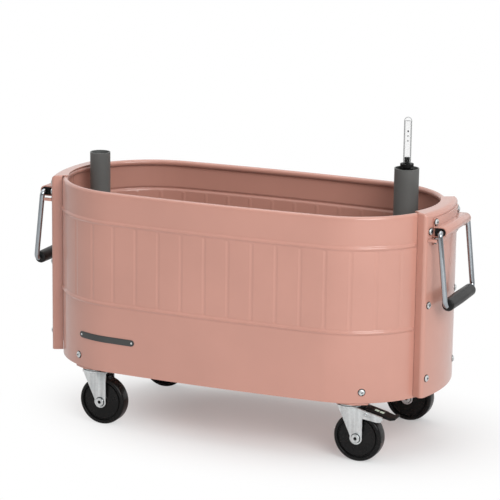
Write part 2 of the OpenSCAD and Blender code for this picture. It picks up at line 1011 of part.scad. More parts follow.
// Side plate of a fork in the XZ plane; a braked fork carries an arm for the pedal's pin
module leg_plate(braked) {
    rotate([90, 0, 0])
        linear_extrude(leg_t) {
            polygon(concat(
                [[-14, crown_top]],
                braked ? [
                    [arm_start, crown_top], [57, arm_top(57)], [57.8, 72], [54.5, 66.6],
                    [48.5, 66], [leg_edge + 3, 68.6], [leg_edge, 68.6]]
                    : [[leg_edge, crown_top]],
                [[leg_edge, wheel_r], [trail, wheel_r - 6], [trail - 8.8, wheel_r + 2]]));
            translate([trail, wheel_r])
                circle(r = leg_edge - trail + 0.1, $fn = 64);
        }
}

module fork(braked) {
    color(zinc)
        difference() {
            union() {
                // Crown disc and the web that joins both legs
                translate([0, 0, crown_bottom])
                    cylinder(r = head_r, h = crown_t, $fn = 72);
                translate([-14, -leg_in - leg_t, crown_bottom])
                    cube([14 + (braked ? arm_start : leg_edge), 2 * (leg_in + leg_t), crown_t]);
                // Lower cup of the swivel bearing
                translate([0, 0, crown_top - eps])
                    cylinder(r = head_r - 2.5, h = cup_lip_top - crown_top + eps, $fn = 64);
                translate([0, -leg_in, 0])
                    leg_plate(braked);
                translate([0, leg_in + leg_t, 0])
                    leg_plate(braked);
            }
            cylinder(r = stem_r + run_gap, h = 100, $fn = 48);
            translate([trail, 0, wheel_r])
                rotate([90, 0, 0])
                    cylinder(r = axle_r, h = 60, center = true, $fn = 48);
            if (braked)
                translate([pivot_x, 0, pivot_z])
                    rotate([90, 0, 0])
                        cylinder(r = pin_r + run_gap, h = 60, center = true, $fn = 40);
        }
}

// Axle bolt with a round head outside and a nut inside of the tub's middle
module axle(face) {
    bolt_half = leg_in + leg_t;
    color(zinc)
        translate([trail, 0, wheel_r])
            rotate([face * 90, 0, 0]) {
                translate([0, 0, -bolt_half - 4])
                    cylinder(r = axle_r, h = 2 * bolt_half + 4.5, $fn = 48);
                difference() {
                    translate([0, 0, bolt_half])
                        cylinder(r = 6.6, h = 2.8, $fn = 48);
                    translate([0, 0, bolt_half + 1.2])
                        cylinder(r = 2.9, h = 4, $fn = 6);
                }
                translate([0, 0, -bolt_half - 4])
                    cylinder(r = 6.8, h = 4, $fn = 6);
            }
}

// Wheel: tread with rounded shoulders, ring grooves in both sides, hub boss and bore
module wheel() {
    half = wheel_w / 2;
    hub_half = leg_in - 0.6;
    web_half = half - 1.6;
    color(black)
        translate([trail, 0, wheel_r])
            rotate([90, 0, 0])
                difference() {
                    union() {
                        rotate_extrude($fn = 120)
                            polygon([
                                [0, -web_half], [27, -web_half], [28.5, -half],
                                [wheel_r - 3.6, -half], [wheel_r - 1.2, -half + 1],
                                [wheel_r, -half + 3.8], [wheel_r, half - 3.8],
                                [wheel_r - 1.2, half - 1], [wheel_r - 3.6, half],
                                [28.5, half], [27, web_half], [0, web_half]]);
                        cylinder(r = 9, h = 2 * hub_half, center = true, $fn = 64);
                    }
                    cylinder(r = axle_r + run_gap, h = 60, center = true, $fn = 48);
                }
}

// Brake pedal: pad with a curled tip, a shoe over the tread, turning on its pin
module brake_pedal() {
    pad_half = leg_in - 2.7;
    color(black) {
        rotate([90, 0, 0])
            linear_extrude(2 * pad_half, center = true)
                polygon([
                    [26, 80], [26, 82.4], [27.5, 83.6], [31, 83.2], [60, 75.6],
                    [67, 73.6], [73.5, 75], [75.5, 73.8], [75, 71.8], [67, 69.8],
                    [58, 72], [47, 74.6], [44, 69.4], [40.5, 69.6], [36, 72],
                    [31, 73.2], [27.5, 76]]);
        translate([pivot_x, 0, pivot_z])
            rotate([90, 0, 0])
                cylinder(r = pin_r, h = 2 * (leg_in + leg_t) + 2, center = true, $fn = 40);
    }
}

module front_left_fork() { translate([-caster_x, -caster_y, 0]) fork(false); }
module front_right_fork() { translate([caster_x, -caster_y, 0]) fork(true); }
module rear_left_fork() { translate([-caster_x, caster_y, 0]) fork(false); }
module rear_right_fork() { translate([caster_x, caster_y, 0]) fork(true); }

module front_left_wheel() { translate([-caster_x, -caster_y, 0]) wheel(); }
module front_right_wheel() { translate([caster_x, -caster_y, 0]) wheel(); }
module rear_left_wheel() { translate([-caster_x, caster_y, 0]) wheel(); }
module rear_right_wheel() { translate([caster_x, caster_y, 0]) wheel(); }

module front_left_axle() { translate([-caster_x, -caster_y, 0]) axle(1); }
module front_right_axle() { translate([caster_x, -caster_y, 0]) axle(1); }
module rear_left_axle() { translate([-caster_x, caster_y, 0]) axle(1); }
module rear_right_axle() { translate([caster_x, caster_y, 0]) axle(1); }

module front_right_brake() { translate([caster_x, -caster_y, 0]) brake_pedal(); }
module rear_right_brake() { translate([caster_x, caster_y, 0]) brake_pedal(); }

front_shell();
rear_shell();
left_end_cover();
right_end_cover();
base_pan();
left_caster_rail();
right_caster_rail();
shell_screws();
end_cover_screws();
cover_spacers();
bracket_screws();
left_handle_bracket();
right_handle_bracket();
handle_bushes();
left_bail();
right_bail();
left_grip();
right_grip();
reservoir_tray();
soil_platform();
left_wick_cup();
right_wick_cup();
fill_tube();
gauge_sleeve();
gauge_cap();
gauge_tube();
gauge_float();
drain_plug();
caster_stems();
caster_nuts();
caster_races();
front_left_fork();
front_right_fork();
rear_left_fork();
rear_right_fork();
front_left_wheel();
front_right_wheel();
rear_left_wheel();
rear_right_wheel();
front_left_axle();
front_right_axle();
rear_left_axle();
rear_right_axle();
front_right_brake();
rear_right_brake();
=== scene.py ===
import math

import bmesh
import bpy
import numpy
from bpy.props import FloatProperty, FloatVectorProperty, IntProperty, PointerProperty
from mathutils import Matrix, Vector


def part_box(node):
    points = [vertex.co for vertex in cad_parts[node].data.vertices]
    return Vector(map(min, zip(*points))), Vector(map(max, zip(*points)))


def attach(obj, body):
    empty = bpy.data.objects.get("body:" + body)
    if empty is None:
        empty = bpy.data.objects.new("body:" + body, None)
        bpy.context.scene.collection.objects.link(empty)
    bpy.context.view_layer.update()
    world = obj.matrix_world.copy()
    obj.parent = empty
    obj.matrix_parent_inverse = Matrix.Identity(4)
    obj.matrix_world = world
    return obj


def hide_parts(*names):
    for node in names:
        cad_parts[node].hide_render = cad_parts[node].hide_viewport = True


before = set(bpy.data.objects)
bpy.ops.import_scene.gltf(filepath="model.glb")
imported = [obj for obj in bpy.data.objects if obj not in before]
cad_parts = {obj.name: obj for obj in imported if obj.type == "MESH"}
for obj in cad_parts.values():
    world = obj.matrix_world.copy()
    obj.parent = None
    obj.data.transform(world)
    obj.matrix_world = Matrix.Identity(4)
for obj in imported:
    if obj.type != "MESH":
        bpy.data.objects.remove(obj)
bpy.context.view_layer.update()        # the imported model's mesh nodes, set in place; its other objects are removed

bl_info = {
    "name": "Self-watering garden bed",
    "version": (1, 0, 0),
    "blender": (4, 5, 0),
    "location": "View3D > Sidebar > Garden bed",
    "description": "Dresses the packed garden bed with its pressed, bent and moulded pieces",
    "category": "Object",
}

BMVert, BMEdge = bmesh.types.BMVert, bmesh.types.BMEdge
MM = 0.001
MERGE = 1e-5                    # points closer than this become one
FINE = 0.8 * MM                 # mesh spacing across a bead
PLAIN = 7.5 * MM                # mesh spacing along the plain wall
BEND_STEPS = 8                  # steps of a cover's bends
WHITE = (1.0, 1.0, 1.0, 1.0)
SHELL_LOW, SHELL_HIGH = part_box("front_shell")
COVER_LOW, COVER_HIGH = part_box("right_end_cover")
WHEEL_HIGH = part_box("front_right_wheel")[1]
CORNERS = ("front_left", "front_right", "rear_left", "rear_right")
BRAKED = ("front_right", "rear_right")
SCREWS = ("shell_screws", "end_cover_screws", "bracket_screws")
MARKS = ((467.8, 2.8), (460.6, 1.6), (453.0, 1.6))     # gauge marks' heights and lengths in mm


# Sizes and colours

def property_of(kind, **usual):
    """Maker of properties of one kind from a name, a description and a default."""
    def make(name, description, default, **own):
        return kind(name=name, description=description, default=default, **{**usual, **own})
    return make


LengthProperty = property_of(FloatProperty, subtype="DISTANCE", unit="LENGTH", min=0.3 * MM)
AngleProperty = property_of(FloatProperty, subtype="ANGLE", unit="ROTATION")
AmountProperty = property_of(FloatProperty, min=0.0)
PointProperty = property_of(FloatVectorProperty, size=3, subtype="XYZ", unit="LENGTH")
ColourProperty = property_of(FloatVectorProperty, size=3, min=0.0, max=1.0, subtype="COLOR")


class BedSizes(bpy.types.PropertyGroup):
    """Sizes of the pressed, bent and moulded pieces"""

    end_radius: LengthProperty(
        "End radius", "Radius of the tub's round ends over the shells", 0.1402, min=0.05)
    bow_rise: LengthProperty(
        "Bow rise", "How much further out the middle of a long wall lies", 0.0048)
    bow_ratio: FloatProperty(
        name="Bow ratio", description="Half length of the bowed wall in times its rise",
        default=35.0, min=5.0)
    shell_bottom: LengthProperty(
        "Shell bottom", "Height of the shells' bottom edge", SHELL_LOW.z)
    shell_top: LengthProperty("Shell top", "Height of the rolled rim's top", SHELL_HIGH.z)
    sheet: LengthProperty("Sheet", "Thickness of the shell sheet", 0.0012)
    rim_radius: LengthProperty("Rim radius", "Radius of the rolled rim", 0.0045)
    low_bead: LengthProperty(
        "Lower bead", "Height of the lower bead above the shell's bottom", 0.1072)
    high_bead: LengthProperty(
        "Upper bead", "Height of the upper bead above the shell's bottom", 0.2345)
    bead_width: LengthProperty("Bead width", "Width of a bead between its feet", 0.0066)
    bead_out: LengthProperty("Bead height", "How far a bead stands out of the wall", 0.00212)
    rib_count: IntProperty(
        name="Ribs", description="Number of upright ribs on a long wall", default=16, min=2)
    rib_pitch: LengthProperty("Rib pitch", "Spacing of the ribs along the wall", 0.0384)
    rib_shift: LengthProperty(
        "Rib shift", "How far the ribs lie along the wall from being centred", 0.0058,
        min=-0.01)
    rib_width: LengthProperty("Rib width", "Width of a rib between its feet", 0.006)
    rib_out: LengthProperty(
        "Rib height", "How far a rib stands out of the wall, below 0 for a groove",
        -0.0006, min=-0.005)
    wing_turn: AngleProperty(
        "Wing turn", "Turn round the end where a cover's wing ends", math.radians(63))
    cover_bow: LengthProperty("Cover bow", "Radius of a cover's bowed face", 0.24, min=0.1)
    wing_rise: LengthProperty(
        "Wing rise", "How much further out a cover's corner lies than its wing", 0.0076)
    cover_sheet: LengthProperty("Cover sheet", "Thickness of the cover sheet", 0.0015)
    cover_lip: LengthProperty("Cover lip", "Width of a cover's flange over the rim", 0.009)
    cover_round: LengthProperty(
        "Cover bend", "Radius of the soft bend above a cover's face", 0.0078)
    wing_round: LengthProperty(
        "Wing bend", "Radius of the bend above a cover's wings", 0.0026)
    corner_round: LengthProperty(
        "Corner bend", "Radius of a cover's upright corners", 0.005)
    pivot_x: LengthProperty(
        "Pivot reach", "Distance from the tub's middle to a bail's pivot", 0.328)
    pivot_z: LengthProperty("Pivot height", "Height of a bail's pivot", 0.346)
    bail_half_width: LengthProperty(
        "Bail half width", "Half of the distance between a bail's legs", 0.064)
    bail_length: LengthProperty(
        "Bail length", "Length of the legs, pivot axis to grip axis", 0.11)
    bail_lean: AngleProperty(
        "Bail lean", "Lean of the resting bail away from the tub", math.radians(6.1))
    rod_radius: LengthProperty("Rod radius", "Radius of the bail's rod", 0.004)
    grip_radius: LengthProperty("Grip radius", "Radius of the grip", 0.01, min=0.004)
    wheel_radius: LengthProperty(
        "Wheel radius", "Radius of the wheels", WHEEL_HIGH.z / 2, min=0.035)
    wheel_width: LengthProperty("Wheel width", "Width of the wheels over the tread", 0.022)
    plate_end: LengthProperty(
        "Plate end", "Arc length from the front's middle to the plate's left end", 0.2335)
    plate_length: LengthProperty(
        "Plate length", "Length of the bare plate on the front shell", 0.103, min=0.01)
    plate_height: LengthProperty("Plate height", "Height of the bare plate", 0.0098)
    plate_z: LengthProperty(
        "Plate level", "Height of the bare plate's middle above the floor", 0.1425)
    plate_sheet: LengthProperty("Plate sheet", "Thickness of the bare plate", 0.0008)
    gauge_turn: AngleProperty(
        "Gauge turn", "Turn of the gauge's marks to the right of the tub's front",
        math.radians(23.18))


class BedFinishes(bpy.types.PropertyGroup):
    """Colours of the finishes"""

    powder: ColourProperty(
        "Powder coat", "Colour of the powder-coated sheet", (0.565, 0.278, 0.218))
    zinc: ColourProperty("Zinc", "Colour of the plated casters and screws", (0.62, 0.65, 0.655))
    chrome: ColourProperty("Chrome", "Colour of the bails", (0.37, 0.40, 0.425))
    black: ColourProperty(
        "Black plastic", "Colour of wheels, grips, pedals and plugs", (0.0045, 0.0045, 0.0045))
    grey: ColourProperty("Grey plastic", "Colour of the watering insert", (0.122, 0.126, 0.122))
    plate: ColourProperty(
        "Front plate", "Colour of the bare plate on the front shell", (0.05, 0.053, 0.052))


class BedStage(bpy.types.PropertyGroup):
    """Camera, lamps and floor"""

    azimuth: AngleProperty(
        "Azimuth", "Turn of the camera to the right of the tub's front", math.radians(23.18))
    elevation: AngleProperty("Elevation", "Height angle of the camera", math.radians(13.47))
    roll: AngleProperty("Roll", "Turn of the camera about its own axis", math.radians(0.75))
    distance: LengthProperty("Distance", "Distance from the camera to its aim", 3.70265)
    aim: PointProperty("Aim", "Point that the camera looks at", (-0.00102, 0.0, 0.27286))
    lens: FloatProperty(
        name="Lens", description="Focal length on a 36 mm sensor",
        default=172.6, min=1.0, unit="CAMERA")
    key_power: AmountProperty(
        "Key lamp", "Power of the lamp to the front right, in watts", 62.0)
    key_size: LengthProperty("Key lamp's size", "Side of the lamp to the front right", 1.8)
    key_place: PointProperty(
        "Key lamp's place", "Place of the lamp to the front right", (2.05, -1.95, 1.8))
    top_power: AmountProperty("Top lamp", "Power of the lamp overhead, in watts", 22.0)
    top_size: LengthProperty("Top lamp's size", "Side of the lamp overhead", 2.4)
    top_place: PointProperty("Top lamp's place", "Place of the lamp overhead", (-0.3, 0.2, 2.6))
    sky: AmountProperty("Room light", "Strength of the light from all round", 0.44)
    gloss_low: AmountProperty(
        "Gloss low", "Brightness of the room near the floor in glossy surfaces", 0.3)
    shadow_middle: PointProperty(
        "Shadow middle", "Middle of the soft shadow on the floor", (0.06, 0.02, 0.0))
    shadow_radii: PointProperty(
        "Shadow radii", "Half length and half width of the soft shadow", (0.33, 0.22, 1.0))
    shadow_least: AmountProperty(
        "Shadow least", "Share of plain white in the middle of the shadow", 0.2)


# Node helpers

def start_material(name):
    """Makes a material and gives its node tree, shader and Object coordinates."""
    material = bpy.data.materials.new(name)
    material.use_nodes = True
    tree = material.node_tree
    place = tree.nodes.new("ShaderNodeTexCoord").outputs["Object"]
    return tree, tree.nodes["Principled BSDF"], place


def feed(tree, node, inputs):
    """Gives inputs of a node, by name or number, a socket to read or a plain value."""
    for name, value in inputs.items():
        if isinstance(value, bpy.types.NodeSocket):
            tree.links.new(value, node.inputs[name])
        else:
            node.inputs[name].default_value = value


def add_node(tree, kind, inputs, **settings):
    """New shader node with its settings and its inputs."""
    node = tree.nodes.new("ShaderNode" + kind)
    for name, value in settings.items():
        setattr(node, name, value)
    feed(tree, node, inputs)
    return node


def add_noise(tree, place, scale, detail=2.0, roughness=0.5):
    """Noise, mostly between 0.3 and 0.7."""
    return add_node(tree, "TexNoise", {
        "Scale": scale, "Detail": detail, "Roughness": roughness,
        "Vector": place}).outputs["Fac"]


def stretched_noise(tree, place, scales, detail):
    """Noise with its own scale along each axis."""
    stretch = add_node(tree, "Mapping", {"Scale": scales, "Vector": place})
    return add_noise(tree, stretch.outputs["Vector"], 1.0, detail)


def add_range(tree, value, low, high, out_low, out_high, **settings):
    """Value carried from one range to another and held inside it."""
    return add_node(tree, "MapRange", {
        "Value": value, "From Min": low, "From Max": high,
        "To Min": out_low, "To Max": out_high}, **settings).outputs["Result"]


def spread(tree, noise, low=0.0, high=1.0):
    """Noise spread over a range."""
    return add_range(tree, noise, 0.3, 0.7, low, high)


def tint(tree, factor, first, second):
    """Colour between two colours by a factor."""
    return add_node(tree, "Mix", {"A": (*first, 1.0), "B": (*second, 1.0), "Factor": factor},
                    data_type="RGBA").outputs["Result"]


def blend_value(tree, factor, first, second):
    """Number between two numbers by a factor."""
    return add_node(tree, "Mix", {"Factor": factor, "A": first, "B": second},
                    data_type="FLOAT").outputs["Result"]


def relief(tree, height, distance, strength):
    """Normal of a surface that a height roughens."""
    return add_node(tree, "Bump", {"Strength": strength, "Distance": distance,
                                   "Height": height}).outputs["Normal"]


def painted_corner_shade(tree, reach, darkest):
    """Painted shade: a factor that falls from 1 to darkest in corners narrower than a reach, to
    darken a colour where shade falls.
    """
    nook = add_node(tree, "AmbientOcclusion", {"Distance": reach}, samples=8)
    return add_range(tree, nook.outputs["AO"], 0.25, 0.85, darkest, 1.0)


def dim(tree, colour, factor):
    """Colour multiplied by a factor."""
    return add_node(tree, "VectorMath", {0: colour, "Scale": factor},
                    operation="SCALE").outputs["Vector"]


def shade(colour, by):
    """Colour made lighter or darker."""
    return tuple(min(1.0, max(0.0, channel * by)) for channel in colour)


# Finishes

def powder_coat(colour):
    """Satin powder coat: orange-peel skin, faint cloudiness, a clear glossy top and painted
    shade in narrow corners and seams.
    """
    tree, shader, place = start_material("powder_coat")
    cloud = spread(tree, add_noise(tree, place, 9.0, 3.0))
    skin = tint(tree, cloud, shade(colour, 0.965), shade(colour, 1.03))
    feed(tree, shader, {
        # painted shade: the base colour darkens to 0.66 in corners and seams narrower than 3 mm
        "Base Color": dim(tree, skin, painted_corner_shade(tree, 3.0 * MM, 0.66)),
        "Normal": relief(tree, add_noise(tree, place, 620.0, 2.0, 0.45), 0.16 * MM, 0.28),
        "Roughness": spread(tree, add_noise(tree, place, 55.0, 4.0), 0.3, 0.37),
        "Sheen Weight": 0.14, "Sheen Roughness": 0.35,
        "Coat Weight": 0.55, "Coat Roughness": 0.12})


def zinc_plate(colour):
    """Bright zinc plating with a faint spangle, upright streaks, fine rubbing marks and strong
    painted shade in corners.
    """
    tree, shader, place = start_material("zinc_plate")
    cells = add_node(tree, "TexVoronoi", {"Scale": 420.0, "Vector": place})
    spangle = tint(tree, cells.outputs["Color"], shade(colour, 0.93), shade(colour, 1.06))
    streak = spread(tree, stretched_noise(tree, place, (150.0, 150.0, 9.0), 2.0), 0.9, 1.32)
    marks = stretched_noise(tree, place, (160.0, 160.0, 2600.0), 3.0)
    feed(tree, shader, {
        # painted shade: the base colour falls nearly to black in corners within 2.4 mm, round
        # screw and bolt heads
        "Base Color": dim(tree, dim(tree, spangle, streak), painted_corner_shade(tree, 2.4 * MM, 0.06)),
        "Normal": relief(tree, marks, 0.04 * MM, 0.3),
        "Roughness": spread(tree, marks, 0.26, 0.42),
        "Metallic": 1.0})


def chrome_plate(colour):
    """Polished chrome with slight waviness and wiping marks."""
    tree, shader, place = start_material("chrome_plate")
    wave = add_noise(tree, place, 60.0)
    wiped = add_noise(tree, place, 380.0, 3.0)
    feed(tree, shader, {
        "Base Color": tint(tree, spread(tree, wave), shade(colour, 0.94), shade(colour, 1.05)),
        "Normal": relief(tree, wave, 0.2 * MM, 0.12),
        "Roughness": add_range(tree, wiped, 0.35, 0.7, 0.05, 0.13),
        "Metallic": 1.0})


def moulded_plastic(name, colour, grain, rough_low, rough_high, dust=1.12, shine=0.5):
    """Moulded plastic with a fine spark-eroded grain and a little dust."""
    tree, shader, place = start_material(name)
    settled = add_noise(tree, place, 24.0, 5.0, 0.6)
    skin = add_noise(tree, place, grain, 3.0, 0.6)
    feed(tree, shader, {
        "Base Color": tint(tree, add_range(tree, settled, 0.35, 0.75, 0.0, 1.0),
                           colour, shade(colour, dust)),
        "Normal": relief(tree, skin, 0.12 * MM, 0.3),
        "Roughness": spread(tree, settled, rough_low, rough_high),
        "Specular IOR Level": shine})


def clear_plastic():
    """Thin clear tube: nearly unseen face on, glossy and faintly hazy; its grey outline is
    painted, an opacity that rises as the surface turns from the camera.
    """
    tree, shader, place = start_material("clear_tube")
    haze = add_noise(tree, place, 90.0, 3.0)
    edge = add_node(tree, "LayerWeight", {"Blend": 0.5})
    feed(tree, shader, {
        "Base Color": tint(tree, haze, (0.2, 0.215, 0.21), (0.24, 0.255, 0.25)),
        "Roughness": spread(tree, haze, 0.06, 0.14),
        # painted outline: opacity rises towards the tube's edges as seen from the camera
        "Alpha": add_range(tree, edge.outputs["Facing"], 0.3, 0.8, 0.03, 0.85)})


def make_finishes():
    """All materials by name, made once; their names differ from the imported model's."""
    if "powder_coat" not in bpy.data.materials:
        colours = bpy.context.scene.bed_finishes
        powder_coat(colours.powder)
        zinc_plate(colours.zinc)
        chrome_plate(colours.chrome)
        moulded_plastic("wheel_rubber", colours.black, 900.0, 0.2, 0.32, 1.9, 0.2)
        moulded_plastic("grip_foam", shade(colours.black, 1.3), 1400.0, 0.34, 0.46, 1.5, 0.3)
        moulded_plastic("moulded_black", shade(colours.black, 1.5), 1100.0, 0.4, 0.52, 1.5, 0.12)
        moulded_plastic("moulded_grey", colours.grey, 1000.0, 0.42, 0.55, 1.12, 0.3)
        moulded_plastic("dark_plate", colours.plate, 800.0, 0.32, 0.42, 1.2, 0.4)
        moulded_plastic("mark_print", (0.03, 0.03, 0.035), 700.0, 0.4, 0.5, 1.6)
        moulded_plastic("pale_label", (0.56, 0.66, 0.55), 600.0, 0.35, 0.5, 0.86)
        clear_plastic()
    return bpy.data.materials


# Mesh helpers

def as_mesh(name, work):
    """Turns a bmesh into mesh data."""
    mesh = bpy.data.meshes.new(name)
    work.to_mesh(mesh)
    work.free()
    return mesh


def add_object(name, data):
    """New object of the scene for a mesh, a lamp or the camera."""
    made = bpy.data.objects.new(name, data)
    bpy.context.scene.collection.objects.link(made)
    return made


def finish_piece(name, work, finish, body, nodes=(), sharp=35.0):
    """Turns a bmesh into a piece that rides on a body and stands for its CAD nodes."""
    mesh = as_mesh(name, work)
    mesh.materials.append(make_finishes()[finish])
    for face in mesh.polygons:
        face.use_smooth = True
    mesh.set_sharp_from_angle(angle=math.radians(sharp))
    piece = add_object(name, mesh)
    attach(piece, body)
    if nodes:
        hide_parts(*nodes)


def dress_node(node, finish):
    """Gives a CAD node a finish and keeps its shape."""
    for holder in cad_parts[node].material_slots:
        holder.material = make_finishes()[finish]


def merged_copy(node):
    """CAD node as a merged mesh whose flat faces are whole again."""
    work = bmesh.new()
    work.from_mesh(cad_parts[node].data)
    bmesh.ops.remove_doubles(work, verts=work.verts, dist=0.002 * MM)
    bmesh.ops.dissolve_limit(work, angle_limit=math.radians(0.05), verts=work.verts,
                             edges=work.edges)
    return work


def soften(work, width, sharper_than=38.0):
    """Rounds the edges that are sharper than an angle in degrees."""
    edges = [edge for edge in work.edges if len(edge.link_faces) == 2
             and edge.calc_face_angle(0.0) > math.radians(sharper_than)]
    bmesh.ops.bevel(work, geom=edges, offset=width, offset_type="OFFSET", affect="EDGES",
                    segments=2, profile=0.5, material=-1, clamp_overlap=True)


def soften_node(node, name, width, finish, body):
    """Puts a copy with rounded edges in a CAD node's place."""
    work = merged_copy(node)
    soften(work, width)
    finish_piece(name, work, finish, body, (node,))


def only(kind, items):
    """The items of one kind, vertices or edges."""
    return [item for item in items if isinstance(item, kind)]


def everything(work):
    """All vertices, edges and faces of a mesh."""
    return work.verts[:] + work.edges[:] + work.faces[:]


def turn_about(work, axis, angle):
    """Turns a mesh about an axis through the origin."""
    bmesh.ops.rotate(work, verts=work.verts, cent=(0, 0, 0),
                     matrix=Matrix.Rotation(angle, 3, axis))


def face_out(work, outward):
    """Flips an open sheet if its furthest face in a direction looks the other way."""
    outward = Vector(outward)
    face = max(work.faces, key=lambda item: item.calc_center_median().dot(outward))
    if face.normal.dot(outward) < 0:
        bmesh.ops.reverse_faces(work, faces=work.faces)


def add_chain(work, points):
    """Vertices joined by edges, in order."""
    verts = [work.verts.new(point) for point in points]
    return verts, [work.edges.new(pair) for pair in zip(verts, verts[1:])]


def add_part(work, part, place, outward):
    """Adds a part made along Z, put at a place and turned outward."""
    turn = Vector((0, 0, 1)).rotation_difference(Vector(outward)).to_matrix().to_4x4()
    bmesh.ops.transform(part, verts=part.verts, matrix=Matrix.Translation(place) @ turn)
    mesh = as_mesh("part", part)
    work.from_mesh(mesh)
    bpy.data.meshes.remove(mesh)


def lathe(work, profile, steps):
    """Spins (radius, height) points about Z and closes the seam and the poles."""
    verts, edges = add_chain(work, [(radius, 0.0, height) for radius, height in profile])
    bmesh.ops.spin(work, geom=verts + edges, cent=(0, 0, 0), axis=(0, 0, 1),
                   angle=math.tau, steps=steps, use_merge=True)
    bmesh.ops.remove_doubles(work, verts=work.verts, dist=0.001 * MM)
    bmesh.ops.recalc_face_normals(work, faces=work.faces)


def arc(centre, radius, start, end, steps):
    """Points of an arc in a plane, angles in degrees."""
    turns = [math.radians(start + (end - start) * k / steps) for k in range(steps + 1)]
    return [(centre[0] + radius * math.cos(t), centre[1] + radius * math.sin(t))
            for t in turns]


def spaced(start, end, step):
    """Values from start up to, but not with, end, at most about step apart."""
    count = max(1, math.ceil((end - start) / step - 0.01))
    return [start + (end - start) * k / count for k in range(count)]


# Shells

class WallPlan:
    """Plan of the tub's wall: a bowed arc that runs tangent into a round end."""

    def __init__(self, sizes):
        ratio, rise = sizes.bow_ratio, sizes.bow_rise
        self.end_r = sizes.end_radius
        self.end_x = ratio * rise
        self.bow_y = rise * (ratio * ratio - 1) / 2
        self.bow_r = sizes.end_radius + rise * (ratio * ratio + 1) / 2
        self.join = math.atan2(self.end_x, self.bow_y)
        self.half = self.bow_r * self.join

    def turn_at(self, s):
        """Turn of the wall's outward side at an arc length from its middle."""
        if s <= self.half:
            return s / self.bow_r
        return self.join + (s - self.half) / self.end_r

    def length_at(self, turn):
        """Arc length from the wall's middle to a turn on the round end."""
        return self.half + (turn - self.join) * self.end_r

    def point(self, s, out):
        """Point at an arc length from the front wall's middle, out from the wall."""
        turn = math.copysign(self.turn_at(abs(s)), s)
        if abs(s) <= self.half:
            reach = self.bow_r + out
            return reach * math.sin(turn), self.bow_y - reach * math.cos(turn)
        reach = self.end_r + out
        return (math.copysign(self.end_x, s) + reach * math.sin(turn),
                -reach * math.cos(turn))

    def arc_length(self, x, y):
        """Arc length and outward direction of a point of the wall, both to their side."""
        side = 1 if x > 0 else -1
        turn = math.atan2(abs(x), self.bow_y - y)
        s = turn * self.bow_r
        if turn > self.join:
            turn = math.atan2(abs(x) - self.end_x, -y)
            s = self.length_at(turn)
        return side * s, Vector((side * math.sin(turn), -math.cos(turn), 0))


def bump(distance, width, out):
    """Height of a pressed bump with soft feet, at a distance from its middle."""
    foot = 0.56 * width
    if distance >= foot:
        return 0.0
    return out * math.cos(math.pi / 2 * distance / foot) ** 1.2


def round_end(distance, length):
    """Share of a bump's height near its rounded end."""
    share = min(1.0, max(0.0, distance / length))
    return math.sqrt(1 - (1 - share) ** 2)


def wall_stops(plan, ribs, bead_end):
    """Arc lengths of the mesh's columns, close together at the ribs and the beads' end."""
    rib_zone, rib_step, end_zone, end_step = 4.9 * MM, 0.7 * MM, 5 * MM, 0.75 * MM
    wall_end = plan.length_at(math.radians(89.9))
    stops, last = [plan.half, wall_end], 0.0
    for rib in ribs:
        stops += spaced(last, rib - rib_zone, PLAIN)
        stops += spaced(rib - rib_zone, rib + rib_zone, rib_step)
        last = rib + rib_zone
    stops += spaced(last, bead_end - end_zone, PLAIN)
    stops += spaced(bead_end - end_zone, bead_end + 1 * MM, end_step)
    stops += spaced(bead_end + 1 * MM, wall_end, PLAIN)
    return sorted(set(stops))


def pressed_shell(sizes):
    """Front shell: a profile spun round the plan, with beads pressed out and ribs in."""
    plan = WallPlan(sizes)
    low = sizes.shell_bottom + sizes.low_bead
    high = sizes.shell_bottom + sizes.high_bead
    rib_low = low + sizes.bead_width / 2 + 0.5 * MM
    rib_high = high - sizes.bead_width / 2 - 1.5 * MM
    rib_round, bead_round = 2.6 * MM, 4.5 * MM
    roll = sizes.shell_top - sizes.rim_radius
    outside, between = 6 * MM, 10 * MM       # reach of the fine rows round a bead
    foot_step, rib_step, top_step = 20 * MM, 25 * MM, 14 * MM
    heights = (spaced(sizes.shell_bottom, low - outside, foot_step)
               + spaced(low - outside, low + between, FINE)
               + spaced(low + between, high - between, rib_step)
               + spaced(high - between, high + outside, FINE)
               + spaced(high + outside, roll, top_step))
    rim = arc((-sizes.rim_radius, roll), sizes.rim_radius, 0, 270, 22)
    front = plan.bow_y - plan.bow_r
    profile = [(0.0, front - out, z) for out, z in [(0.0, z) for z in heights] + rim]

    ribs = [(k + 0.5 - sizes.rib_count / 2) * sizes.rib_pitch + sizes.rib_shift
            for k in range(sizes.rib_count)]
    bead_end = plan.length_at(sizes.wing_turn - math.radians(1))
    work = bmesh.new()
    for side in (1, -1):
        verts, edges = add_chain(work, profile)
        ring = verts + edges
        stops = wall_stops(plan, sorted(side * rib for rib in ribs if side * rib > 0), bead_end)
        for start, stop in zip(stops, stops[1:]):
            on_bow = stop <= plan.half + 1e-9
            centre = (0, plan.bow_y, 0) if on_bow else (side * plan.end_x, 0, 0)
            ring = bmesh.ops.spin(work, geom=ring, cent=centre, axis=(0, 0, side), steps=1,
                                  angle=plan.turn_at(stop) - plan.turn_at(start))["geom_last"]
    bmesh.ops.remove_doubles(work, verts=work.verts, dist=MERGE)

    for vert in work.verts:
        z = vert.co.z
        if z > roll - 1e-6:
            continue
        s, outward = plan.arc_length(vert.co.x, vert.co.y)
        bead = max(bump(abs(z - level), sizes.bead_width, sizes.bead_out)
                   for level in (low, high)) * round_end(bead_end - abs(s), bead_round)
        nearest = min(abs(s - rib) for rib in ribs)
        rib = bump(nearest, sizes.rib_width, sizes.rib_out) * min(
            round_end(z - rib_low, rib_round), round_end(rib_high - z, rib_round))
        vert.co += outward * (bead + rib)

    bmesh.ops.recalc_face_normals(work, faces=work.faces)
    face_out(work, (0, -1, 0))
    bmesh.ops.solidify(work, geom=work.faces[:], thickness=sizes.sheet)
    return work


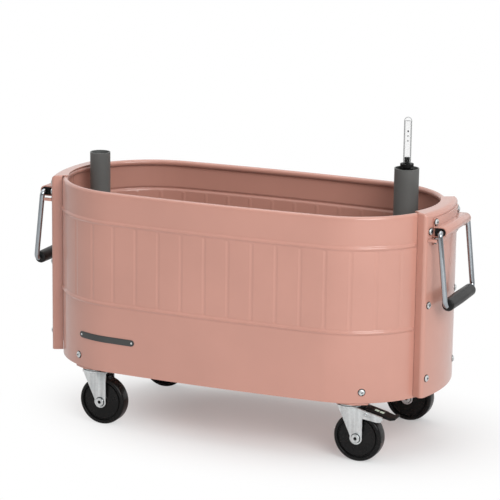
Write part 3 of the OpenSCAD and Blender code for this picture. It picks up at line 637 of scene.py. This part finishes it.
class BED_OT_shells(bpy.types.Operator):
    """Press the front and rear shell"""

    bl_idname = "bed.shells"
    bl_label = "Shells"

    def execute(self, context):
        for side in ("front", "rear"):
            work = pressed_shell(context.scene.bed_sizes)
            if side == "rear":
                turn_about(work, "Z", math.pi)
            finish_piece(side + "_pressed_shell", work, "powder_coat", "tub",
                         (side + "_shell",), 45)
        return {"FINISHED"}


# End covers

def cover_row(sizes, bend):
    """Outline points of a cover at a turn of its upper bend, wing end to wing end."""
    end = Vector((sizes.bow_ratio * sizes.bow_rise, 0.0))
    bow = Vector((COVER_HIGH.x - sizes.cover_bow, 0.0))
    turn = sizes.wing_turn
    tip_gap, edge_gap, least_fillet = 0.2 * MM, 0.25 * MM, 0.4 * MM
    tip_r = sizes.end_radius + sizes.cover_sheet + tip_gap
    tip = end + tip_r * Vector((math.sin(turn), math.cos(turn)))
    half = tip.y + sizes.wing_rise
    corner = bow + Vector((math.sqrt(sizes.cover_bow ** 2 - half ** 2), half))
    along = (corner - tip).normalized()
    inward = Vector((along.y, -along.x))
    share = 1 - math.cos(bend)
    bow_in, wing_in = sizes.cover_round * share, sizes.wing_round * share
    bow_z, wing_z = (COVER_HIGH.z - size * (1 - math.sin(bend))
                     for size in (sizes.cover_round, sizes.wing_round))
    fillet = max(least_fillet, sizes.corner_round - bow_in)
    reach = sizes.cover_bow - bow_in - fillet
    base = tip + inward * (wing_in + fillet)
    middle = base + along * crossing(base - bow, along, reach)
    first, last = -inward, (middle - bow).normalized()
    start = tip + inward * wing_in
    start += along * crossing(start - end, along, sizes.end_radius + edge_gap)
    points = [(start.x, start.y, wing_z)]
    for k in range(BEND_STEPS + 1):
        way = first.slerp(last, k / BEND_STEPS, None)
        points.append((*(middle + way * fillet), wing_z + (bow_z - wing_z) * k / BEND_STEPS))
    opened = math.degrees(math.atan2(last.y, last.x))
    face = arc(bow, sizes.cover_bow - bow_in, opened, -opened, 36)[1:-1]
    mirrored = [(x, -y, z) for x, y, z in reversed(points)]
    return points + [(x, y, bow_z) for x, y in face] + mirrored


def crossing(offset, along, reach):
    """How far along a line it leaves the circle of a radius about the origin."""
    lead = offset.dot(along)
    return -lead + math.sqrt(lead * lead - offset.length_squared + reach * reach)


def rounded(vert):
    """A vertex's place, rounded so that it can be looked up."""
    return tuple(round(value, 7) for value in vert.co)


def extrude_to(work, verts, edges, places):
    """Extrudes a chain and puts its new vertices at given places."""
    made = bmesh.ops.extrude_edge_only(work, edges=edges)["geom"]
    spot = {rounded(item): item for item in only(BMVert, made)}
    moved = [spot[rounded(vert)] for vert in verts]
    for vert, place in zip(moved, places):
        vert.co = place
    return moved, [work.edges.get(pair) for pair in zip(moved, moved[1:])]


def folded_cover(sizes):
    """Right end cover: one sheet with bowed face, soft corners, soft upper bend and flange."""
    upper = cover_row(sizes, 0.0)
    work = bmesh.new()
    verts, edges = add_chain(work, [(x, y, COVER_LOW.z) for x, y, z in upper])
    for k in range(BEND_STEPS + 1):
        row = cover_row(sizes, math.pi / 2 * k / BEND_STEPS)
        verts, edges = extrude_to(work, verts, edges, row)
    end_x = sizes.bow_ratio * sizes.bow_rise
    lip_r = sizes.end_radius - sizes.cover_lip
    first = Vector(row[0][:2]) - Vector((end_x, 0.0))
    along = (Vector(row[1][:2]) - Vector(row[0][:2])).normalized()
    first += along * crossing(first, along, lip_r)
    opened = math.degrees(math.atan2(first.y, first.x))
    lip = arc((end_x, 0.0), lip_r, opened, -opened, len(row) - 1)
    extrude_to(work, verts, edges, [(x, y, COVER_HIGH.z) for x, y in lip])
    bmesh.ops.recalc_face_normals(work, faces=work.faces)
    face_out(work, (0, 0, 1))
    bmesh.ops.solidify(work, geom=work.faces[:], thickness=sizes.cover_sheet)
    return work


class BED_OT_covers(bpy.types.Operator):
    """Fold both end covers"""

    bl_idname = "bed.covers"
    bl_label = "End covers"

    def execute(self, context):
        for end in ("right", "left"):
            work = folded_cover(context.scene.bed_sizes)
            if end == "left":
                turn_about(work, "Z", math.pi)
            finish_piece(end + "_folded_cover", work, "powder_coat", "tub",
                         (end + "_end_cover",), 40)
        return {"FINISHED"}


# Handles

def pull(work, ring, step):
    """Extrudes a ring of edges by a step and returns the new ring."""
    new = bmesh.ops.extrude_edge_only(work, edges=only(BMEdge, ring))["geom"]
    verts = only(BMVert, new)
    bmesh.ops.translate(work, verts=verts, vec=step)
    moved = set(verts)
    return verts + [edge for edge in only(BMEdge, new)
                    if all(vert in moved for vert in edge.verts)]


def bend(work, ring, y, z):
    """Spins a ring of edges a quarter turn about an axis along X and returns the last ring."""
    return bmesh.ops.spin(work, geom=ring, cent=(0, y, z), axis=(1, 0, 0),
                          angle=-math.pi / 2, steps=10)["geom_last"]


def lean_out(work, sizes):
    """Moves a handle piece from its pivot at the origin to where it rests."""
    turn_about(work, "Y", -sizes.bail_lean)
    bmesh.ops.translate(work, verts=work.verts, vec=(sizes.pivot_x, 0, sizes.pivot_z))


def bent_bail(sizes):
    """Bail: one rod, bent four times."""
    half, reach = sizes.bail_half_width, sizes.bail_length
    pivot_bend, grip_bend = 6 * MM, 9 * MM
    start = 39 * MM                          # where the rod ends, inside the channel
    work = bmesh.new()
    bmesh.ops.create_circle(work, cap_ends=False, radius=sizes.rod_radius, segments=28,
                            matrix=Matrix.Translation((0, start, 0))
                            @ Matrix.Rotation(math.pi / 2, 4, "X"))
    first = work.edges[:]
    ring = pull(work, work.verts[:] + first, (0, half - pivot_bend - start, 0))
    ring = bend(work, ring, half - pivot_bend, -pivot_bend)
    ring = pull(work, ring, (0, 0, pivot_bend + grip_bend - reach))
    ring = bend(work, ring, half - grip_bend, grip_bend - reach)
    pull(work, ring, (0, grip_bend - half, 0))
    bmesh.ops.contextual_create(work, geom=first)
    bmesh.ops.mirror(work, geom=everything(work), matrix=Matrix.Identity(4),
                     merge_dist=MERGE, axis="Y")
    bmesh.ops.remove_doubles(work, verts=work.verts, dist=MERGE)
    bmesh.ops.recalc_face_normals(work, faces=work.faces)
    lean_out(work, sizes)
    return work


def moulded_grip(sizes):
    """Grip: slightly swelled tube with rounded ends."""
    half, end_round = 53 * MM, 2.4 * MM
    r = sizes.grip_radius
    right = ([(r - 0.25 * MM, 20 * MM), (r - 0.5 * MM, half - 8 * MM)]
             + arc((r - 3 * MM, half - end_round), end_round, 0, 90, 6)
             + [(sizes.rod_radius, half)])
    profile = [(x, -z) for x, z in reversed(right)] + [(r, 0.0)] + right
    work = bmesh.new()
    lathe(work, profile + [profile[0]], 48)
    turn_about(work, "X", math.pi / 2)
    bmesh.ops.translate(work, verts=work.verts, vec=(0, 0, -sizes.bail_length))
    lean_out(work, sizes)
    return work


def shrink_flange(vert, sizes):
    """Draws a plug's flange in, but not its bore, so that the channel's edge shows."""
    old_edge, new_edge, narrower, lower = 7.5 * MM, 6 * MM, 0.78, 0.8
    side = math.copysign(1.0, vert.co.x)
    off_x, off_z = side * vert.co.x - sizes.pivot_x, vert.co.z - sizes.pivot_z
    if math.hypot(off_x, off_z) > sizes.rod_radius + 0.6 * MM:
        vert.co.x = side * (sizes.pivot_x + new_edge - narrower * (old_edge - off_x))
        vert.co.z = sizes.pivot_z + lower * off_z


class BED_OT_handles(bpy.types.Operator):
    """Bend the bails, mould the grips and soften the brackets"""

    bl_idname = "bed.handles"
    bl_label = "Handles"

    def execute(self, context):
        sizes = context.scene.bed_sizes
        for end in ("right", "left"):
            for build, name, finish, slot, node in (
                    (bent_bail, "_bent_bail", "chrome_plate", "chrome", "_bail"),
                    (moulded_grip, "_moulded_grip", "grip_foam", "black_grip", "_grip")):
                work = build(sizes)
                if end == "left":
                    turn_about(work, "Z", math.pi)
                finish_piece(end + name, work, finish, end + "_handle", (end + node,))
            soften_node(end + "_handle_bracket", end + "_pressed_bracket", 0.45 * MM,
                        "powder_coat", "tub")
        work = merged_copy("handle_bushes")
        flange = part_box("handle_bushes")[1].y - 1.3 * MM
        for vert in work.verts:
            if abs(vert.co.y) > flange:
                shrink_flange(vert, sizes)
        soften(work, 0.3 * MM)
        finish_piece("moulded_bushes", work, "moulded_black", "tub",
                     ("handle_bushes",))
        return {"FINISHED"}


# Casters

def ringed_wheel(sizes):
    """Wheel: tread with soft shoulders, ring groove and dished side, spun about its axis."""
    r, half = sizes.wheel_radius, sizes.wheel_width / 2
    bore, hub, hub_out, hub_round = 4.1 * MM, 8.2 * MM, 1.9 * MM, 0.8 * MM
    dish, dish_in = (11.0 * MM, 28.6 * MM), 2.2 * MM
    groove, groove_in = (29.6 * MM, 31.2 * MM), 3.8 * MM
    lip, lip_round, shoulder = 32.8 * MM, 1.2 * MM, 4.2 * MM
    side = ([(bore, half + hub_out), (hub, half + hub_out)]
            + arc((hub, half + hub_out - hub_round), hub_round, 90, 0, 4)
            + [(hub + 1.4 * MM, half - 1.4 * MM)]
            + [(radius, half - dish_in) for radius in dish]
            + [(radius, half - groove_in) for radius in groove]
            + arc((lip, half - lip_round), lip_round, 180, 90, 5)
            + arc((r - shoulder, half - shoulder), shoulder, 80, 5, 7))
    profile = side + [(r, 0.0)] + [(x, -z) for x, z in reversed(side)]
    work = bmesh.new()
    lathe(work, profile + [profile[0]], 96)
    turn_about(work, "X", math.pi / 2)
    return work


def domed_head(work, radius, rise, place, outward):
    """Adds a low domed rivet head that faces outward."""
    foot = 0.2 * rise
    dome = [(x, z * rise / radius + foot) for x, z in arc((0.0, 0.0), radius, 0, 90, 6)]
    head = bmesh.new()
    lathe(head, [(0.0, 0.0), (radius, 0.0)] + dome[:-1] + [(0.0, rise + foot)], 24)
    add_part(work, head, place, outward)


def painted_shade_ring(work, head, place, outward, wider=1.0 * MM):
    """Adds a thin dark ring that shows round a screw or axle head, as painted shade in the gap
    under the head.
    """
    inner, outer = head - 0.6 * MM, head + wider
    low, edge, high = -0.2 * MM, 0.15 * MM, 0.35 * MM
    ring = bmesh.new()
    lathe(ring, [(inner, low), (outer, low), (outer, edge), (outer - 0.2 * MM, high),
                 (inner, high), (inner, low)], 32)
    add_part(work, ring, place, outward)


def painted_socket_shade(work, place, side):
    """Adds a dark six-sided floor inside an axle head's recess, as painted shade in the recess.
    """
    made = bmesh.ops.create_circle(
        work, cap_ends=True, radius=2.75 * MM, segments=6,
        matrix=Matrix.Translation(place) @ Matrix.Rotation(-side * math.pi / 2, 4, "X"))
    faces = list({face for vert in made["verts"] for face in vert.link_faces})
    bmesh.ops.inset_region(work, faces=faces, thickness=0.7 * MM, depth=-0.4 * MM)


def axle_shade_rings(node):
    """Dark rings of painted shade round both heads of an axle bolt, and the dark floors of their
    sockets, painted shade too.
    """
    low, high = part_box(node)
    middle, head = (low + high) / 2, (high.z - low.z) / 2
    ring_in, socket_in = 2.8 * MM, 0.3 * MM
    work = bmesh.new()
    for side, face in ((-1, low.y), (1, high.y)):
        painted_shade_ring(work, head, Vector((middle.x, face - side * ring_in, middle.z)),
                  (0, side, 0), 0.9 * MM)
        painted_socket_shade(work, Vector((middle.x, face - side * socket_in, middle.z)), side)
    return work


def pin_heads(node, wheel):
    """The two heads of the pin that a brake pedal turns on, ahead of the wheel's middle."""
    low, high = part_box(node)
    ahead, level, inset = 15 * MM, 75.7 * MM, 1 * MM
    reach = (high.y - low.y) / 2 - inset
    work = bmesh.new()
    for side in (-1, 1):
        place = Vector((wheel.x + ahead, wheel.y + side * reach, level))
        domed_head(work, 3.6 * MM, 1.0 * MM, place, (0, side, 0))
    return work


def pedal_patches(wheel):
    """Two blank pale patches on a pedal's sloping pad, placed from the wheel's middle."""
    pad_high, pad_low = Vector((15.0, 83.2)) * MM, Vector((44.0, 75.6)) * MM
    along = (pad_low - pad_high).normalized()
    long, wide, lift, sheet = 6.5 * MM, 7 * MM, 0.12 * MM, 0.2 * MM
    taper, taper_from = 0.18, 0.6            # narrower towards both ends of a patch
    work = bmesh.new()
    for start in (9.5 * MM, 17.5 * MM):
        made = bmesh.ops.create_grid(work, x_segments=6, y_segments=6, size=0.5)["verts"]
        for vert in made:
            u, v = vert.co.x, vert.co.y
            narrow = 1.0 - taper * max(0.0, abs(u) * 2 - taper_from)
            spot = pad_high + along * (start + (u + 0.5) * long)
            vert.co = (wheel.x + spot.x, wheel.y + v * narrow * wide, spot.y + lift)
    for face in work.faces:
        if face.normal.z < 0:
            face.normal_flip()
    bmesh.ops.solidify(work, geom=work.faces[:], thickness=sheet)
    return work


class BED_OT_casters(bpy.types.Operator):
    """Spin the wheels and soften forks, axles and brake pedals"""

    bl_idname = "bed.casters"
    bl_label = "Casters"

    def execute(self, context):
        middles = {}
        for corner in CORNERS:
            low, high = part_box(corner + "_wheel")
            middles[corner] = (low + high) / 2
            work = ringed_wheel(context.scene.bed_sizes)
            bmesh.ops.translate(work, verts=work.verts, vec=middles[corner])
            finish_piece(corner + "_ringed_wheel", work, "wheel_rubber",
                         corner + "_roller", (corner + "_wheel",), 50)
            for node, name, width in (("_fork", "_pressed_fork", 0.5 * MM),
                                      ("_axle", "_axle_bolt", 0.4 * MM)):
                soften_node(corner + node, corner + name, width, "zinc_plate",
                            corner + "_swivel")
            # dark rings and socket floors at the axle heads are painted shade
            finish_piece(corner + "_axle_rings", axle_shade_rings(corner + "_axle"),
                         "moulded_black", corner + "_swivel")
        for corner in BRAKED:
            node, body = corner + "_brake", corner + "_pedal"
            soften_node(node, corner + "_moulded_pedal", 0.5 * MM, "moulded_black",
                        body)
            finish_piece(corner + "_pin_heads", pin_heads(node, middles[corner]),
                         "zinc_plate", body)
            finish_piece(corner + "_pedal_patches", pedal_patches(middles[corner]),
                         "pale_label", body)
        for node in ("caster_stems", "caster_nuts", "caster_races"):
            dress_node(node, "zinc_plate")
        return {"FINISHED"}


# Screws and insert

def islands(work):
    """Loose parts of a mesh as lists of vertex places."""
    left = set(work.verts)
    while left:
        part, edge = [], [left.pop()]
        while edge:
            vert = edge.pop()
            part.append(vert.co.copy())
            for link in vert.link_edges:
                other = link.other_vert(vert)
                if other in left:
                    left.remove(other)
                    edge.append(other)
        yield part


def screw_seat(part):
    """Place, outward direction and head radius of a screw from its vertices."""
    places = numpy.array([list(co) for co in part])
    middle = places.mean(axis=0)
    spreads, axes = numpy.linalg.eigh(numpy.cov((places - middle).T))
    lone = 0 if spreads[1] - spreads[0] > spreads[2] - spreads[1] else 2
    axis = axes[:, lone]
    if axis @ (middle * (1, 1, 0)) < 0:
        axis = -axis
    along = (places - middle) @ axis
    radial = numpy.linalg.norm(places - middle - numpy.outer(along, axis), axis=1)
    widest = radial.max()
    head = radial > 0.93 * widest            # the vertices at the head's rim
    return Vector(middle + axis * along[head].min()), Vector(axis), float(widest)


def add_screw_shade_rings(work, node):
    """Adds a thin dark ring of painted shade under each screw head of a node."""
    screws = merged_copy(node)
    for part in islands(screws):
        place, outward, head = screw_seat(part)
        painted_shade_ring(work, head, place, outward)
    screws.free()


class BED_OT_fasteners(bpy.types.Operator):
    """Soften the screws, add dark rings of painted shade round their heads and plate the spacers
    """

    bl_idname = "bed.fasteners"
    bl_label = "Fasteners"

    def execute(self, context):
        for node in SCREWS:
            soften_node(node, node + "_plated", 0.25 * MM, "zinc_plate", "tub")
        # dark rings of painted shade round the screw heads
        work = bmesh.new()
        for node in SCREWS:
            add_screw_shade_rings(work, node)
        finish_piece("screw_washers", work, "moulded_black", "tub")
        dress_node("cover_spacers", "zinc_plate")
        return {"FINISHED"}


def bare_plate(sizes):
    """Thin plate with rounded ends that follows the front wall."""
    plan = WallPlan(sizes)
    start, stop = -sizes.plate_end, sizes.plate_length - sizes.plate_end
    round_r = sizes.plate_height / 2
    work = bmesh.new()
    bmesh.ops.create_grid(work, x_segments=40, y_segments=4, size=1.0)
    for vert in work.verts:
        s = start + (stop - start) * (1 - math.cos(math.pi / 2 * (vert.co.x + 1))) / 2
        near = min(s - start, stop - s, round_r)
        half = max(0.3 * MM, math.sqrt(round_r ** 2 - (round_r - near) ** 2))
        x, y = plan.point(s, sizes.plate_sheet)
        vert.co = (x, y, sizes.plate_z + vert.co.y * half)
    bmesh.ops.recalc_face_normals(work, faces=work.faces)
    face_out(work, (0, -1, 0))
    bmesh.ops.solidify(work, geom=work.faces[:], thickness=sizes.plate_sheet)
    soften(work, 0.2 * MM, 50.0)
    return work


def plate_rivets(sizes):
    """The two small rivets that hold the plate."""
    plan = WallPlan(sizes)
    start, stop, inset = -sizes.plate_end, sizes.plate_length - sizes.plate_end, 4.5 * MM
    work = bmesh.new()
    for s in (start + inset, stop - inset):
        x, y = plan.point(s, sizes.plate_sheet - 0.05 * MM)
        far_x, far_y = plan.point(s, 1.0)
        domed_head(work, 1.7 * MM, 0.6 * MM, (x, y, sizes.plate_z), (far_x - x, far_y - y, 0))
    return work


class BED_OT_front_plate(bpy.types.Operator):
    """Rivet the bare plate to the front shell"""

    bl_idname = "bed.front_plate"
    bl_label = "Front plate"

    def execute(self, context):
        sizes = context.scene.bed_sizes
        finish_piece("front_plate", bare_plate(sizes), "dark_plate", "tub")
        finish_piece("front_plate_rivets", plate_rivets(sizes), "zinc_plate", "tub")
        return {"FINISHED"}


def gauge_marks(sizes):
    """Three short level marks printed on the clear tube's front."""
    low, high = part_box("gauge_tube")
    middle = (low + high) / 2
    radius = (high.x - low.x) / 2 + 0.05 * MM
    sweep, print_sheet = 0.36, 0.12 * MM
    begin = sizes.gauge_turn - math.pi / 2 - sweep / 2
    x, y = middle.x + radius * math.cos(begin), middle.y + radius * math.sin(begin)
    work = bmesh.new()
    for height, tall in MARKS:
        verts, edges = add_chain(work, [(x, y, (height - tall / 2) * MM),
                                        (x, y, (height + tall / 2) * MM)])
        bmesh.ops.spin(work, geom=verts + edges, cent=(middle.x, middle.y, 0),
                       axis=(0, 0, 1), angle=sweep, steps=6)
    bmesh.ops.recalc_face_normals(work, faces=work.faces)
    bmesh.ops.solidify(work, geom=work.faces[:], thickness=-print_sheet)
    return work


def trimmed_rail(sizes, end):
    """Caster rail with its outer corners cut off inside the tub's round end."""
    work = merged_copy(end + "_caster_rail")
    low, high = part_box(end + "_caster_rail")
    side = -1 if end == "left" else 1
    middle = Vector((side * sizes.bow_ratio * sizes.bow_rise, 0.0, 0.0))
    for across in (low.y, high.y):
        corner = Vector((low.x if side < 0 else high.x, across, 0.0))
        outward = (corner - middle).normalized()
        cut = bmesh.ops.bisect_plane(
            work, geom=everything(work), dist=0.001 * MM, plane_no=outward,
            plane_co=middle + outward * (sizes.end_radius - 1.5 * MM), clear_outer=True)
        bmesh.ops.edgenet_fill(work, edges=only(BMEdge, cut["geom_cut"]))
    bmesh.ops.recalc_face_normals(work, faces=work.faces)
    soften(work, 0.4 * MM)
    return work


class BED_OT_insert(bpy.types.Operator):
    """Finish the watering insert, its gauge, the base pan and the caster rails"""

    bl_idname = "bed.insert"
    bl_label = "Watering insert and base"

    def execute(self, context):
        sizes = context.scene.bed_sizes
        for finish, nodes in (
                ("moulded_grey", ("reservoir_tray", "soil_platform", "left_wick_cup",
                                  "right_wick_cup", "fill_tube", "gauge_sleeve")),
                ("moulded_black", ("gauge_cap", "gauge_float", "drain_plug")),
                ("clear_tube", ("gauge_tube",)), ("powder_coat", ("base_pan",))):
            for node in nodes:
                dress_node(node, finish)
        finish_piece("gauge_marks", gauge_marks(sizes), "mark_print", "tub")
        for end in ("left", "right"):
            finish_piece(end + "_trimmed_rail", trimmed_rail(sizes, end),
                         "powder_coat", "tub", (end + "_caster_rail",))
        return {"FINISHED"}


# Stage

def add_camera(stage):
    """Camera of the photograph, set by its turn, height, roll and distance from its aim."""
    level = math.cos(stage.elevation)
    back = Vector((math.sin(stage.azimuth) * level, -math.cos(stage.azimuth) * level,
                   math.sin(stage.elevation)))
    across = Vector((0, 0, 1)).cross(back).normalized()
    right = math.cos(stage.roll) * across + math.sin(stage.roll) * back.cross(across)
    data = bpy.data.cameras.new("photo_camera")
    data.sensor_width = 36.0
    data.lens = stage.lens
    data.clip_end = 50.0
    camera = add_object("photo_camera", data)
    axes = Matrix((right, back.cross(right), back)).transposed().to_4x4()
    camera.matrix_world = Matrix.Translation(Vector(stage.aim) + stage.distance * back) @ axes
    return camera


def add_lamp(name, power, size, place, height):
    """Soft square lamp that looks at a point above the middle of the floor."""
    data = bpy.data.lights.new(name, "AREA")
    data.energy = power
    data.size = size
    lamp = add_object(name, data)
    lamp.location = place
    way = Vector((0, 0, height)) - Vector(place)
    lamp.rotation_euler = way.to_track_quat("-Z", "Y").to_euler()


def room_light(stage):
    """World: plain light all round, white to the camera, in gloss dimmer low down in front."""
    world = bpy.data.worlds.new("room")
    world.use_nodes = True
    tree = world.node_tree
    place = tree.nodes.new("ShaderNodeTexCoord").outputs["Object"]
    facing = add_node(tree, "VectorMath", {0: place, 1: (-0.25, 0.8, 1.0)},
                      operation="DOT_PRODUCT").outputs["Value"]
    gloss = add_range(tree, facing, -0.45, 0.5, stage.gloss_low, 1.0)
    ray = tree.nodes.new("ShaderNodeLightPath").outputs
    plain = blend_value(tree, ray["Is Glossy Ray"], stage.sky, gloss)
    through = blend_value(tree, ray["Is Transmission Ray"], plain, 1.0)
    feed(tree, tree.nodes["Background"], {
        "Color": WHITE, "Strength": blend_value(tree, ray["Is Camera Ray"], through, 1.0)})
    return world


def paper_floor(stage):
    """Pale floor that shows the shadow near the tub; to the camera a painted white glow lightens
    the shadow's middle and fades in to plain white beyond.
    """
    tree, shader, place = start_material("floor_paper")
    feed(tree, shader, {
        "Base Color": tint(tree, add_noise(tree, place, 3.0), (0.89, 0.89, 0.89),
                           (0.92, 0.92, 0.92)),
        "Roughness": 0.9, "Specular IOR Level": 0.1})
    glow = add_node(tree, "Emission", {"Color": WHITE, "Strength": 1.0})
    for operation, value in (("SUBTRACT", stage.shadow_middle), ("DIVIDE", stage.shadow_radii)):
        place = add_node(tree, "VectorMath", {0: place, 1: value},
                         operation=operation).outputs["Vector"]
    away = add_node(tree, "VectorMath", {0: place}, operation="LENGTH").outputs["Value"]
    # painted light: the white glow's share grows with distance from the shadow's middle
    fade = add_range(tree, away, 0.45, 1.45, stage.shadow_least, 1.0,
                     interpolation_type="SMOOTHSTEP")
    ray = tree.nodes.new("ShaderNodeLightPath").outputs["Is Camera Ray"]
    seen = add_node(tree, "Math", {0: fade, 1: ray}, operation="MULTIPLY").outputs[0]
    mix = add_node(tree, "MixShader", {0: seen, 1: shader.outputs[0], 2: glow.outputs[0]})
    feed(tree, tree.nodes["Material Output"], {"Surface": mix.outputs[0]})
    return bpy.data.materials["floor_paper"]


class BED_OT_stage(bpy.types.Operator):
    """Set the camera, the lamps, the room light and the floor"""

    bl_idname = "bed.stage"
    bl_label = "Stage"

    def execute(self, context):
        scene = context.scene
        stage = scene.bed_stage
        scene.camera = add_camera(stage)
        add_lamp("key_lamp", stage.key_power, stage.key_size, stage.key_place, 0.25)
        add_lamp("top_lamp", stage.top_power, stage.top_size, stage.top_place, 0.2)
        scene.world = room_light(stage)
        work = bmesh.new()
        bmesh.ops.create_grid(work, x_segments=8, y_segments=8, size=6.0)
        floor = add_object("floor", as_mesh("floor", work))
        floor.data.materials.append(paper_floor(stage))
        scene.view_settings.view_transform = "Standard"
        return {"FINISHED"}


# Add-on

class BED_PT_panel(bpy.types.Panel):
    """Pieces of the garden bed"""

    bl_idname = "BED_PT_panel"
    bl_label = "Garden bed"
    bl_space_type = "VIEW_3D"
    bl_region_type = "UI"
    bl_category = "Garden bed"

    def draw(self, context):
        column = self.layout.column()
        for operator in OPERATORS:
            column.operator(operator.bl_idname)


OPERATORS = (BED_OT_shells, BED_OT_covers, BED_OT_handles, BED_OT_casters,
             BED_OT_fasteners, BED_OT_front_plate, BED_OT_insert, BED_OT_stage)
GROUPS = {"bed_sizes": BedSizes, "bed_finishes": BedFinishes, "bed_stage": BedStage}
CLASSES = (*GROUPS.values(), *OPERATORS, BED_PT_panel)


def register():
    for item in CLASSES:
        bpy.utils.register_class(item)
    for name, group in GROUPS.items():
        setattr(bpy.types.Scene, name, PointerProperty(type=group))


def unregister():
    for name in GROUPS:
        delattr(bpy.types.Scene, name)
    for item in reversed(CLASSES):
        bpy.utils.unregister_class(item)


def main():
    register()
    bpy.ops.bed.stage()
    bpy.ops.bed.shells()
    bpy.ops.bed.covers()
    bpy.ops.bed.handles()
    bpy.ops.bed.casters()
    bpy.ops.bed.fasteners()
    bpy.ops.bed.front_plate()
    bpy.ops.bed.insert()


if __name__ == "__main__":
    main()
